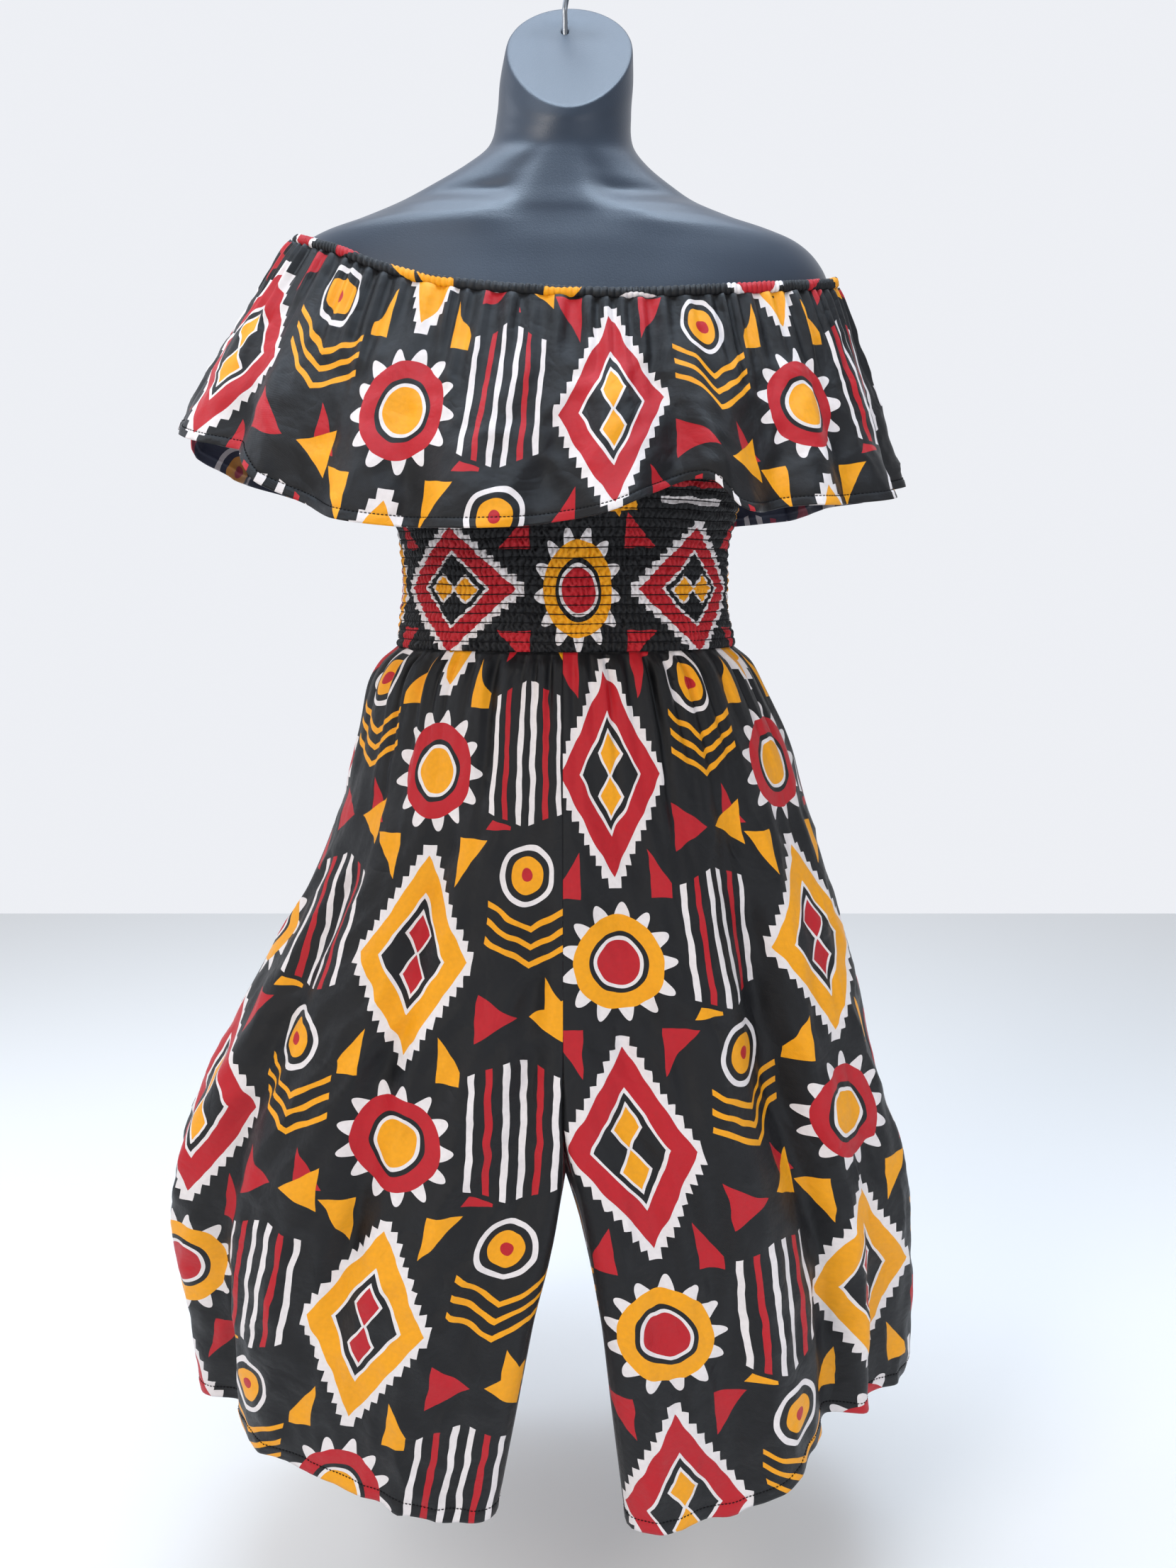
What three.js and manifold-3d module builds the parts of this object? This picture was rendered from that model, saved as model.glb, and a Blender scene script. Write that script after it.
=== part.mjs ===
// An off-shoulder jumpsuit with a deep ruffle, a smocked waist and wide gathered legs,
// worn by a limbless torso form that hangs from a wire hook.
// Millimetres, +Z up, the front towards -Y. The origin is the underside of the hook's crown, where the
// rail bears. Heights are given as "drop", the distance below that point. Angles run round the body from
// the front centre, 0, to its left side, 90, the back centre, 180, and its right side, 270 or -90.

import * as THREE from 'three';
import Module from 'manifold-3d';
import { mergeVertices } from 'three/addons/utils/BufferGeometryUtils.js';

// Driving dimensions
const clothThickness = 1.4; // cotton with its seams and hems, as a rigid wall
const seamGap = 0.3; // between pieces that are sewn or rest together
const restGap = 1.2; // between the form and the elastic channel on its shoulders
const bodiceGap = 3.4; // between the form and the bodice's inside

const wireDiameter = 4.4;
const crookRadius = 22; // inside radius of the hook's bend
const wireFootDrop = 132; // how far down the wire's foot stands in the neck
const wireFoot = { x: 1, y: 17 }; // where the wire stands in the neck's slanted top

const casingHeight = 9; // the gathered elastic channel at the neckline
const casingDepth = 7.2;
const casingRings = 72;
const casingPucker = 0.45;

const smockTopDrop = 430;
const waistDrop = 568; // the seam between the smocked band and the trousers
const elasticRows = 19;
const elasticRelief = 0.8; // how far the cloth stands out between two elastic rows
const armholeTopDrop = 275;
const underarmDrop = 388;
const strapAngle = 62; // the bodice reaches this far round at the neckline, before the armhole

const hemDrop = 1262;
const crotchDrop = 1045;
const crotchCurveDrop = 860; // where the centre seam starts to sweep under
const crotchFullness = 0.6; // 1 would be an even quarter oval; less keeps the centre seam forward till low
const gathersPerPanel = 12;
const gatherHeight = 2.9; // of the trouser gathers, just under the waist seam
const gatherFade = 78; // the drop over which those gathers sink to a third
const cornerRadius = 26; // at the hem, of the fold where a front or back turns inwards between the legs
const cornerLead = 8; // the cloth before that fold that the inward columns take with them
const inwardColumns = 7;
const outlineSteps = 72; // of the smooth outline that a panel's columns are spaced along
const flatByOuterSeam = 0.06; // the share of a panel's width, by the outer seam, over which its folds start
const flatByInnerFold = 0.08; // and over which they end, before the inner fold

const foldSoftness = 1.55; // a fold's foot lies this many of its half widths from its crest
const foldGrowth = 260; // the drop over which a trouser fold grows to its full height
const foldEnding = 160; // and over which one that stops short sinks again

const ruffleGathersPerHalf = 24;
const ruffleGatherHeight = 1.9;
const ruffleGatherSpan = { start: -0.12, full: 0.1, end: 0.45 }; // from the ruffle's top, 0, to its hem, 1
const ruffleBulge = { rightSide: 4, leftSide: 2 }; // how far its middle stands out of a straight fall

const colours = {
  form: 0x2b2f36,
  wire: 0xb4b8bc,
  print: 0x1d1b1f,
  printSmocked: 0x2a1a1a,
  casing: 0x18181c,
};

// The torso form: a level ring for each row, apart from the neck's, which lean forward by "tilt" (rise over
// depth). half is the half width, front and back the depths from the side line, shift the ring's middle.
const torsoRings = [
  { drop: 96.6, half: 50, front: 50, back: 35, shift: 5, tilt: 1.247 },
  { drop: 122, half: 53, front: 51, back: 43, shift: 2.5, tilt: 0.85 },
  { drop: 146, half: 53.5, front: 51, back: 50, shift: 0.5, tilt: 0.5 },
  { drop: 170, half: 57.5, front: 51.5, back: 56, shift: -2, tilt: 0.25 },
  { drop: 187, half: 74, front: 53, back: 60, shift: -6, tilt: 0.1 },
  { drop: 203, half: 98, front: 55, back: 65, shift: -10, tilt: 0.03 },
  { drop: 218, half: 125, front: 58.5, back: 70, shift: -13, tilt: 0 },
  { drop: 231, half: 159, front: 65, back: 75, shift: -13, tilt: 0 },
  { drop: 239, half: 184, front: 71.5, back: 79, shift: -12, tilt: 0 },
  { drop: 247, half: 201, front: 77, back: 83, shift: -10, tilt: 0 },
  { drop: 260, half: 215, front: 83, back: 88, shift: -9, tilt: 0 },
  { drop: 277, half: 223, front: 90, back: 94, shift: -8, tilt: 0 },
  { drop: 302, half: 222, front: 101, back: 98, shift: -7, tilt: 0 },
  { drop: 332, half: 208, front: 113, back: 99, shift: -6, tilt: 0 },
  { drop: 366, half: 184, front: 121, back: 96, shift: -4, tilt: 0 },
  { drop: 402, half: 160, front: 121, back: 91, shift: -2, tilt: 0 },
  { drop: 440, half: 142, front: 110, back: 87, shift: -1, tilt: 0 },
  { drop: 488, half: 131, front: 94, back: 84, shift: 0, tilt: 0 },
  { drop: 530, half: 130, front: 89, back: 84, shift: 0, tilt: 0 },
  { drop: 572, half: 137, front: 90, back: 91, shift: 0, tilt: 0 },
  { drop: 622, half: 152, front: 96, back: 104, shift: 0, tilt: 0 },
  { drop: 680, half: 163, front: 101, back: 114, shift: 0, tilt: 0 },
  { drop: 730, half: 164, front: 101, back: 116, shift: 0, tilt: 0 },
  { drop: 768, half: 158, front: 96, back: 111, shift: 0, tilt: 0 },
];
const torsoSides = 30;

// The neckline's height round the body
const neckline = [
  { angle: -90, drop: 246 },
  { angle: -73, drop: 251 },
  { angle: -58, drop: 258.5 },
  { angle: -45, drop: 269 },
  { angle: -35, drop: 282.5 },
  { angle: -25, drop: 294 },
  { angle: -13, drop: 302 },
  { angle: 1, drop: 306.5 },
  { angle: 15, drop: 307 },
  { angle: 30, drop: 302 },
  { angle: 44, drop: 296 },
  { angle: 57, drop: 290 },
  { angle: 70, drop: 284 },
  { angle: 90, drop: 276 },
  { angle: 115, drop: 281 },
  { angle: 145, drop: 292 },
  { angle: 180, drop: 295 },
  { angle: 215, drop: 285 },
  { angle: 245, drop: 263 },
  { angle: 270, drop: 246 },
];

// The ruffle's hem: the oval that it follows, and its height round the body
const ruffleHem = { half: 296, front: 168, back: 166, shift: -18 };
const ruffleHemline = [
  { angle: -90, drop: 391 },
  { angle: -79, drop: 392 },
  { angle: -70, drop: 399 },
  { angle: -62, drop: 407 },
  { angle: -55, drop: 413 },
  { angle: -48, drop: 421 },
  { angle: -43, drop: 443 },
  { angle: -35, drop: 459 },
  { angle: -29, drop: 469 },
  { angle: -19, drop: 475 },
  { angle: -5, drop: 476 },
  { angle: 4, drop: 471 },
  { angle: 10, drop: 465 },
  { angle: 17, drop: 451 },
  { angle: 25, drop: 441 },
  { angle: 29, drop: 461 },
  { angle: 34, drop: 464 },
  { angle: 40, drop: 459 },
  { angle: 50, drop: 457 },
  { angle: 62, drop: 452 },
  { angle: 76, drop: 443 },
  { angle: 90, drop: 435 },
  { angle: 112, drop: 446 },
  { angle: 138, drop: 462 },
  { angle: 160, drop: 468 },
  { angle: 186, drop: 472 },
  { angle: 208, drop: 462 },
  { angle: 226, drop: 448 },
  { angle: 242, drop: 430 },
  { angle: 250, drop: 427 },
  { angle: 258, drop: 416 },
  { angle: 266, drop: 402 },
  { angle: 270, drop: 391 },
];

// The ruffle's folds: where each stands round the body, its half width in degrees and its height at the
// hem, with a trough where the height is negative
const ruffleFolds = [
  { angle: -84, reach: 6, height: 3 },
  { angle: -66, reach: 7, height: 9 },
  { angle: -53, reach: 5, height: -11 },
  { angle: -45, reach: 5, height: 9 },
  { angle: -36, reach: 5, height: -9 },
  { angle: -28, reach: 5, height: 8 },
  { angle: -19, reach: 4, height: -9 },
  { angle: -9, reach: 6, height: 8 },
  { angle: 2, reach: 5, height: -8 },
  { angle: 11, reach: 5, height: 9 },
  { angle: 21, reach: 5, height: -16 },
  { angle: 29, reach: 5, height: 13 },
  { angle: 38, reach: 5, height: -11 },
  { angle: 46, reach: 5, height: 8 },
  { angle: 55, reach: 4, height: -10 },
  { angle: 64, reach: 6, height: 9 },
  { angle: 76, reach: 5, height: -10 },
  { angle: 85, reach: 5, height: 5 },
  { angle: 98, reach: 6, height: -10 },
  { angle: 108, reach: 6, height: 9 },
  { angle: 120, reach: 6, height: -12 },
  { angle: 131, reach: 6, height: 9 },
  { angle: 142, reach: 5, height: -10 },
  { angle: 152, reach: 6, height: 10 },
  { angle: 163, reach: 5, height: -9 },
  { angle: 174, reach: 7, height: 9 },
  { angle: 187, reach: 5, height: -12 },
  { angle: 197, reach: 6, height: 9 },
  { angle: 209, reach: 5, height: -10 },
  { angle: 219, reach: 6, height: 10 },
  { angle: 230, reach: 5, height: -9 },
  { angle: 241, reach: 6, height: 8 },
  { angle: 252, reach: 5, height: -8 },
  { angle: 262, reach: 5, height: 5 },
];

// The smocked band's outside
const smockRings = [
  { drop: 430, half: 153, front: 119, back: 95 },
  { drop: 455, half: 145, front: 110, back: 93 },
  { drop: 479, half: 139, front: 102, back: 91 },
  { drop: 502, half: 137, front: 98, back: 90 },
  { drop: 526, half: 137.5, front: 97, back: 91 },
  { drop: 550, half: 141, front: 98, back: 94 },
  { drop: 568, half: 144, front: 101, back: 97 },
];

// The trousers' outside: rightSide and leftSide are the half widths
const trouserRings = [
  { drop: 568.3, rightSide: 143.4, leftSide: 143.4, front: 100.4, back: 96.4 },
  { drop: 580, rightSide: 156, leftSide: 156, front: 109, back: 106 },
  { drop: 600, rightSide: 168, leftSide: 168, front: 114, back: 113 },
  { drop: 645, rightSide: 179, leftSide: 191, front: 121, back: 124 },
  { drop: 700, rightSide: 195, leftSide: 209, front: 128, back: 132 },
  { drop: 780, rightSide: 229, leftSide: 235, front: 138, back: 141 },
  { drop: 860, rightSide: 277, leftSide: 259, front: 148, back: 150 },
  { drop: 936, rightSide: 318, leftSide: 277, front: 159, back: 159 },
  { drop: 1005, rightSide: 346, leftSide: 296, front: 168, back: 167 },
  { drop: 1090, rightSide: 356, leftSide: 311, front: 177, back: 175 },
  { drop: 1180, rightSide: 347, leftSide: 312, front: 184, back: 182 },
  { drop: 1262, rightSide: 338, leftSide: 311, front: 189, back: 187 },
];

// Where the legs part: how far from the middle the fronts and backs turn inwards, with the left front apart
// from the other three, and how far from it the inner seam is
const trouserSplits = [
  { drop: 780, corner: 0, leftFrontCorner: 0, inseam: 0 },
  { drop: 860, corner: 0, leftFrontCorner: 0, inseam: 0 },
  { drop: 936, corner: 0, leftFrontCorner: 0, inseam: 2 },
  { drop: 1005, corner: 4, leftFrontCorner: 18, inseam: 15 },
  { drop: 1090, corner: 21, leftFrontCorner: 29, inseam: 33 },
  { drop: 1180, corner: 37, leftFrontCorner: 38, inseam: 53 },
  { drop: 1262, corner: 52, leftFrontCorner: 47, inseam: 70 },
];
const trouserStations = [568.3, 583, 620, 700, 800, 900, 985, crotchDrop, 1110, 1185, hemDrop];

// How much higher than the middle each leg's hem hangs, from the outer seam, 0, to the inner fold, 1
const hemRises = [
  { across: 0, right: 34, left: 36 },
  { across: 0.15, right: 34, left: 37 },
  { across: 0.3, right: 31, left: 38 },
  { across: 0.45, right: 28, left: 37 },
  { across: 0.57, right: 22, left: 34 },
  { across: 0.66, right: 16, left: 18 },
  { across: 0.74, right: 13, left: 2 },
  { across: 0.81, right: 9, left: -3 },
  { across: 0.88, right: 2, left: -6 },
  { across: 1, right: 0, left: -9 },
];
const hemRiseStart = 900; // the drop below which the cloth is drawn up to that hem

// The long folds of each trouser panel: across is the place from the outer seam, 0, to the inner fold, 1,
// drift how far that place moves by the hem, reach the half width in mm, top and foot the drops between
// which the fold shows. A trough has a negative height.
const panelFolds = {
  right_front: [
    { across: 0.16, drift: 0.02, reach: 24, height: 9, top: 800, foot: 1262 },
    { across: 0.3, drift: -0.02, reach: 22, height: -12, top: 640, foot: 1262 },
    { across: 0.46, drift: 0.0, reach: 28, height: 8, top: 760, foot: 1262 },
    { across: 0.62, drift: -0.03, reach: 20, height: -10, top: 600, foot: 1180 },
    { across: 0.8, drift: 0.0, reach: 24, height: 8, top: 820, foot: 1262 },
    { across: 0.93, drift: 0.0, reach: 16, height: -8, top: 600, foot: 1120 },
  ],
  left_front: [
    { across: 0.14, drift: 0.0, reach: 22, height: 9, top: 760, foot: 1262 },
    { across: 0.28, drift: 0.0, reach: 20, height: -13, top: 900, foot: 1262 },
    { across: 0.5, drift: -0.06, reach: 24, height: -26, top: 640, foot: 1262 },
    { across: 0.66, drift: -0.02, reach: 28, height: 14, top: 700, foot: 1262 },
    { across: 0.84, drift: 0.0, reach: 20, height: -8, top: 600, foot: 1080 },
    { across: 0.93, drift: 0.0, reach: 16, height: 6, top: 900, foot: 1262 },
  ],
  right_back: [
    { across: 0.18, drift: 0.02, reach: 24, height: -12, top: 740, foot: 1262 },
    { across: 0.36, drift: 0.0, reach: 28, height: 11, top: 800, foot: 1262 },
    { across: 0.54, drift: -0.03, reach: 24, height: -16, top: 680, foot: 1262 },
    { across: 0.72, drift: 0.0, reach: 26, height: 10, top: 860, foot: 1262 },
    { across: 0.89, drift: 0.0, reach: 18, height: -9, top: 640, foot: 1200 },
  ],
  left_back: [
    { across: 0.15, drift: 0.0, reach: 22, height: 9, top: 780, foot: 1262 },
    { across: 0.31, drift: 0.02, reach: 24, height: -14, top: 700, foot: 1262 },
    { across: 0.5, drift: 0.0, reach: 28, height: 11, top: 840, foot: 1262 },
    { across: 0.69, drift: -0.02, reach: 22, height: -15, top: 660, foot: 1262 },
    { across: 0.87, drift: 0.0, reach: 22, height: 8, top: 880, foot: 1262 },
  ],
};

// Small helpers

const radians = THREE.MathUtils.degToRad;
const smoothStep = (x, low, high) => THREE.MathUtils.smoothstep(x, low, high);

// The value of one column of a table at any place between its rows, on a smooth curve through them
function read(rows, key, name, at) {
  let i = 0;
  while (i < rows.length - 2 && at > rows[i + 1][key]) i += 1;
  const [low, high] = [rows[i], rows[i + 1]];
  const before = rows[Math.max(i - 1, 0)];
  const after = rows[Math.min(i + 2, rows.length - 1)];
  const step = high[key] - low[key];
  const t = THREE.MathUtils.clamp((at - low[key]) / step, 0, 1);
  const startSlope = (step * (high[name] - before[name])) / (high[key] - before[key]);
  const endSlope = (step * (after[name] - low[name])) / (after[key] - low[key]);
  const rise = high[name] - low[name];
  const bend = startSlope + endSlope - 2 * rise;
  return low[name] + t * (startSlope + t * (3 * rise - 2 * startSlope - endSlope + t * bend));
}

// A point on an oval whose front and back have their own depths
function ovalPoint(ring, degrees, grow = 0) {
  const angle = radians(degrees);
  const depth = Math.cos(angle) > 0 ? ring.front : ring.back;
  return new THREE.Vector3(
    (ring.shift ?? 0) + (ring.half + grow) * Math.sin(angle),
    -(depth + grow) * Math.cos(angle),
    -ring.drop,
  );
}

function ringAt(rings, drop) {
  const ring = { drop };
  for (const name of Object.keys(rings[0])) {
    if (name !== 'drop') ring[name] = read(rings, 'drop', name, drop);
  }
  return ring;
}

// The direction straight out of an oval, in the level plane
function ovalOutward(ring, degrees) {
  const angle = radians(degrees);
  const depth = Math.cos(angle) > 0 ? ring.front : ring.back;
  return new THREE.Vector3(Math.sin(angle) / ring.half, -Math.cos(angle) / depth, 0).normalize();
}

const torsoPoint = (degrees, drop) => ovalPoint(ringAt(torsoRings, drop), degrees);

// The torso's surface at a place, with the directions out of it, along it round the body, and down it
function torsoFrame(degrees, drop) {
  const point = torsoPoint(degrees, drop);
  const round = torsoPoint(degrees + 0.5, drop).sub(torsoPoint(degrees - 0.5, drop)).normalize();
  const fall = torsoPoint(degrees, drop + 1).sub(torsoPoint(degrees, drop - 1)).normalize();
  const outward = new THREE.Vector3().crossVectors(fall, round).normalize();
  const down = new THREE.Vector3().crossVectors(round, outward).normalize();
  return { point, outward, down };
}

// A single hump of height 1 and half width 1
const hump = (x) => (Math.abs(x) < 1 ? 0.5 + 0.5 * Math.cos(Math.PI * x) : 0);

// Closed bodies from rings and grids of points

function bodyFrom(points, triangles) {
  let volume = 0;
  const across = new THREE.Vector3();
  for (const [a, b, c] of triangles) {
    volume += points[a].dot(across.crossVectors(points[b], points[c]));
  }
  const facingOut = volume > 0 ? triangles : triangles.map(([a, b, c]) => [a, c, b]);
  const geometry = new THREE.BufferGeometry();
  const positions = points.flatMap((point) => [point.x, point.y, point.z]);
  geometry.setAttribute('position', new THREE.Float32BufferAttribute(positions, 3));
  geometry.setIndex(facingOut.flat());
  geometry.computeVertexNormals();
  return geometry;
}

// The directions out of a grid of points. turn is 1 where its columns run round the body the way that
// angles do, and -1 where they run the other way.
function gridOutward(grid, turn) {
  const last = { row: grid.length - 1, column: grid[0].length - 1 };
  return grid.map((line, j) =>
    line.map((_, i) => {
      const along = line[Math.min(i + 1, last.column)].clone().sub(line[Math.max(i - 1, 0)]);
      const fall = grid[Math.min(j + 1, last.row)][i].clone().sub(grid[Math.max(j - 1, 0)][i]);
      return fall.cross(along).multiplyScalar(turn).normalize();
    }),
  );
}

// Joins two chains of vertices whose places run from 0 to 1 with a strip of triangles
function strip(first, second) {
  const triangles = [];
  let [i, j] = [0, 0];
  while (i < first.length - 1 || j < second.length - 1) {
    const firstNext = i < first.length - 1 ? first[i + 1].place : Infinity;
    const secondNext = j < second.length - 1 ? second[j + 1].place : Infinity;
    if (firstNext <= secondNext) {
      triangles.push([first[i].vertex, first[i + 1].vertex, second[j].vertex]);
      i += 1;
    } else {
      triangles.push([first[i].vertex, second[j + 1].vertex, second[j].vertex]);
      j += 1;
    }
  }
  return triangles;
}

// A closed wall between an outer and an inner grid of points, rows of columns, which have the same number of
// columns. The grids' edges are joined by strips.
function wallBetween(outerGrid, innerGrid) {
  const columns = outerGrid[0].length;
  const points = [...outerGrid.flat(), ...innerGrid.flat()];
  const innerStart = outerGrid.length * columns;
  const outer = (j, i) => j * columns + i;
  const inner = (j, i) => innerStart + j * columns + i;
  const triangles = [];
  const face = (grid, index, flip) => {
    for (let j = 0; j < grid.length - 1; j += 1) {
      for (let i = 0; i < columns - 1; i += 1) {
        const [a, b, c, d] = [index(j, i), index(j, i + 1), index(j + 1, i + 1), index(j + 1, i)];
        triangles.push(flip ? [a, c, b] : [a, b, c], flip ? [a, d, c] : [a, c, d]);
      }
    }
  };
  face(outerGrid, outer, false);
  face(innerGrid, inner, true);
  const lastColumn = columns - 1;
  const [lastOuter, lastInner] = [outerGrid.length - 1, innerGrid.length - 1];
  const sideChain = (count, index, i) =>
    Array.from({ length: count }, (_, j) => ({ vertex: index(j, i), place: j / (count - 1) }));
  const levelChain = (index, j) =>
    Array.from({ length: columns }, (_, i) => ({ vertex: index(j, i), place: i / lastColumn }));
  const flipped = (list) => list.map(([a, b, c]) => [a, c, b]);
  triangles.push(
    ...strip(sideChain(outerGrid.length, outer, 0), sideChain(innerGrid.length, inner, 0)),
    ...flipped(
      strip(sideChain(outerGrid.length, outer, lastColumn), sideChain(innerGrid.length, inner, lastColumn)),
    ),
    ...flipped(strip(levelChain(outer, 0), levelChain(inner, 0))),
    ...strip(levelChain(outer, lastOuter), levelChain(inner, lastInner)),
  );
  return bodyFrom(points, triangles);
}

// A cloth panel: its outside is point(u, station), and its inside lies a cloth's thickness within. On an
// edge named in flatEdges the inside stays level with the outside in that direction, so that seams butt.
function clothPanel({ point, columns, stations, turn = 1, flatEdges = {} }) {
  const grid = stations.map((station) =>
    Array.from({ length: columns + 1 }, (_, i) => point(i / columns, station)),
  );
  const outward = gridOutward(grid, turn);
  const flatten = (direction, axis) => {
    direction[axis] = 0;
    direction.normalize();
  };
  outward.forEach((line, j) => {
    if (flatEdges.start) flatten(line[0], flatEdges.start);
    if (flatEdges.end) flatten(line[columns], flatEdges.end(stations[j]));
    if (flatEdges.top && j === 0) line.forEach((direction) => flatten(direction, 'z'));
    if (flatEdges.foot && j === outward.length - 1) line.forEach((direction) => flatten(direction, 'z'));
  });
  const inside = grid.map((line, j) =>
    line.map((place, i) => place.clone().addScaledVector(outward[j][i], -clothThickness)),
  );
  return wallBetween(grid, inside);
}

// Pieces

function torsoForm() {
  const points = [];
  const triangles = [];
  const ringStart = (j) => j * torsoSides;
  torsoRings.forEach((ring) => {
    for (let i = 0; i < torsoSides; i += 1) {
      const point = ovalPoint(ring, (360 * i) / torsoSides);
      point.z += ring.tilt * point.y;
      points.push(point);
    }
  });
  const lastRing = torsoRings.length - 1;
  for (let j = 0; j < lastRing; j += 1) {
    for (let i = 0; i < torsoSides; i += 1) {
      const next = (i + 1) % torsoSides;
      const [a, b] = [ringStart(j) + i, ringStart(j) + next];
      const [c, d] = [ringStart(j + 1) + next, ringStart(j + 1) + i];
      triangles.push([a, b, c], [a, c, d]);
    }
  }
  const [neckRing, baseRing] = [torsoRings[0], torsoRings[lastRing]];
  const neckMiddle = (neckRing.back - neckRing.front) / 2;
  points.push(
    new THREE.Vector3(neckRing.shift, neckMiddle, -neckRing.drop + neckRing.tilt * neckMiddle),
    new THREE.Vector3(baseRing.shift, 0, -baseRing.drop),
  );
  const [neckCentre, baseCentre] = [points.length - 2, points.length - 1];
  for (let i = 0; i < torsoSides; i += 1) {
    const next = (i + 1) % torsoSides;
    triangles.push([neckCentre, next, i], [baseCentre, ringStart(lastRing) + i, ringStart(lastRing) + next]);
  }
  return bodyFrom(points, triangles);
}

// The hook's wire, from its foot in the neck, up and round the crook to its end
class HookWire extends THREE.CatmullRomCurve3 {
  constructor() {
    const bend = crookRadius + wireDiameter / 2;
    const onCrook = (degrees) => {
      const angle = radians(degrees);
      return new THREE.Vector3(bend * Math.cos(angle), 0, bend * Math.sin(angle) - crookRadius);
    };
    const crookAngles = [-38, -10, 20, 50, 80, 110, 140, 170, 200, 222];
    super([
      new THREE.Vector3(wireFoot.x, wireFoot.y, -wireFootDrop),
      new THREE.Vector3(wireFoot.x, wireFoot.y, -100),
      new THREE.Vector3(wireFoot.x, wireFoot.y, -72),
      new THREE.Vector3(wireFoot.x, wireFoot.y, -62),
      new THREE.Vector3(4, wireFoot.y * 0.6, -53),
      new THREE.Vector3(10, wireFoot.y * 0.2, -44.5),
      ...crookAngles.map(onCrook),
    ]);
  }
}

function wireHook() {
  const section = new THREE.Shape();
  section.absarc(0, 0, wireDiameter / 2, 0, 2 * Math.PI);
  return new THREE.ExtrudeGeometry(section, { extrudePath: new HookWire(), steps: 36, curveSegments: 5 });
}

// The form with the round socket that the wire's foot stands in
function socketedForm(wasm) {
  const solidOf = (geometry) => {
    const bare = geometry.clone().deleteAttribute('normal').deleteAttribute('uv');
    const merged = mergeVertices(bare, 1e-4);
    return new wasm.Manifold(
      new wasm.Mesh({
        numProp: 3,
        vertProperties: new Float32Array(merged.attributes.position.array),
        triVerts: new Uint32Array(merged.index.array),
      }),
    );
  };
  const socketTop = 40;
  const socketDepth = wireFootDrop + seamGap - socketTop;
  const socket = new THREE.CylinderGeometry(
    wireDiameter / 2 + seamGap,
    wireDiameter / 2 + seamGap,
    socketDepth,
    16,
  );
  socket.rotateX(Math.PI / 2);
  socket.translate(wireFoot.x, wireFoot.y, -socketTop - socketDepth / 2);
  const cut = solidOf(torsoForm()).subtract(solidOf(socket)).getMesh();
  const geometry = new THREE.BufferGeometry();
  geometry.setAttribute('position', new THREE.Float32BufferAttribute(cut.vertProperties, 3));
  geometry.setIndex(Array.from(cut.triVerts));
  geometry.computeVertexNormals();
  return geometry;
}

// The middle of the elastic channel round the neckline, lying on the form
function casingFrame(degrees) {
  const frame = torsoFrame(degrees, read(neckline, 'angle', 'drop', degrees));
  const middle = frame.point.clone().addScaledVector(frame.outward, restGap + casingDepth / 2);
  return { ...frame, middle };
}

// A closed, puckered channel of eight sides
function neckCasing() {
  const [halfDepth, halfHeight] = [casingDepth / 2, casingHeight / 2];
  const section = [
    [halfDepth, 0.55 * halfHeight],
    [0.5 * halfDepth, halfHeight],
    [-0.5 * halfDepth, halfHeight],
    [-halfDepth, 0.55 * halfHeight],
    [-halfDepth, -0.55 * halfHeight],
    [-0.5 * halfDepth, -halfHeight],
    [0.5 * halfDepth, -halfHeight],
    [halfDepth, -0.55 * halfHeight],
  ];
  const points = [];
  const triangles = [];
  for (let ring = 0; ring < casingRings; ring += 1) {
    const { middle, outward, down } = casingFrame(-90 + (360 * ring) / casingRings);
    const pucker = ring % 2 === 0 ? 0 : casingPucker;
    section.forEach(([out, fall]) => {
      const slimmer = 1 - pucker / halfDepth;
      points.push(
        middle.clone().addScaledVector(outward, out * slimmer).addScaledVector(down, fall * slimmer),
      );
    });
  }
  const sides = section.length;
  for (let ring = 0; ring < casingRings; ring += 1) {
    const nextRing = (ring + 1) % casingRings;
    for (let side = 0; side < sides; side += 1) {
      const nextSide = (side + 1) % sides;
      const [a, b] = [ring * sides + side, ring * sides + nextSide];
      const [c, d] = [nextRing * sides + nextSide, nextRing * sides + side];
      triangles.push([a, b, c], [a, c, d]);
    }
  }
  return bodyFrom(points, triangles);
}

// A place on the ruffle: station 0 is its gathered top and 1 its hem
function rufflePoint(degrees, station) {
  const { middle, outward, down } = casingFrame(degrees);
  const top = middle
    .clone()
    .addScaledVector(down, casingHeight / 2 + seamGap)
    .addScaledVector(outward, clothThickness + seamGap);
  const hem = ovalPoint({ ...ruffleHem, drop: read(ruffleHemline, 'angle', 'drop', degrees) }, degrees);
  const level = ovalOutward(ruffleHem, degrees);
  const sideways = Math.sin(radians(degrees));
  const bulge = THREE.MathUtils.lerp(ruffleBulge.rightSide, ruffleBulge.leftSide, (1 + sideways) / 2);
  const folds = ruffleFolds.reduce(
    (sum, fold) => sum + fold.height * hump((degrees - fold.angle) / (foldSoftness * fold.reach)),
    0,
  );
  const gatherPlace = ((degrees + 90) / 180) * ruffleGathersPerHalf;
  const { start, full, end } = ruffleGatherSpan;
  const gatherStrength = smoothStep(station, start, full) * (1 - smoothStep(station, full, end));
  const gather = ruffleGatherHeight * Math.cos(2 * Math.PI * gatherPlace) * gatherStrength;
  const lift = bulge * Math.sin(Math.PI * station) + folds * smoothStep(station, 0, 1.15) + gather;
  const direction = outward.clone().lerp(level, smoothStep(station, 0, 0.25)).normalize();
  return top.lerp(hem, station).addScaledVector(direction, lift);
}

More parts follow.
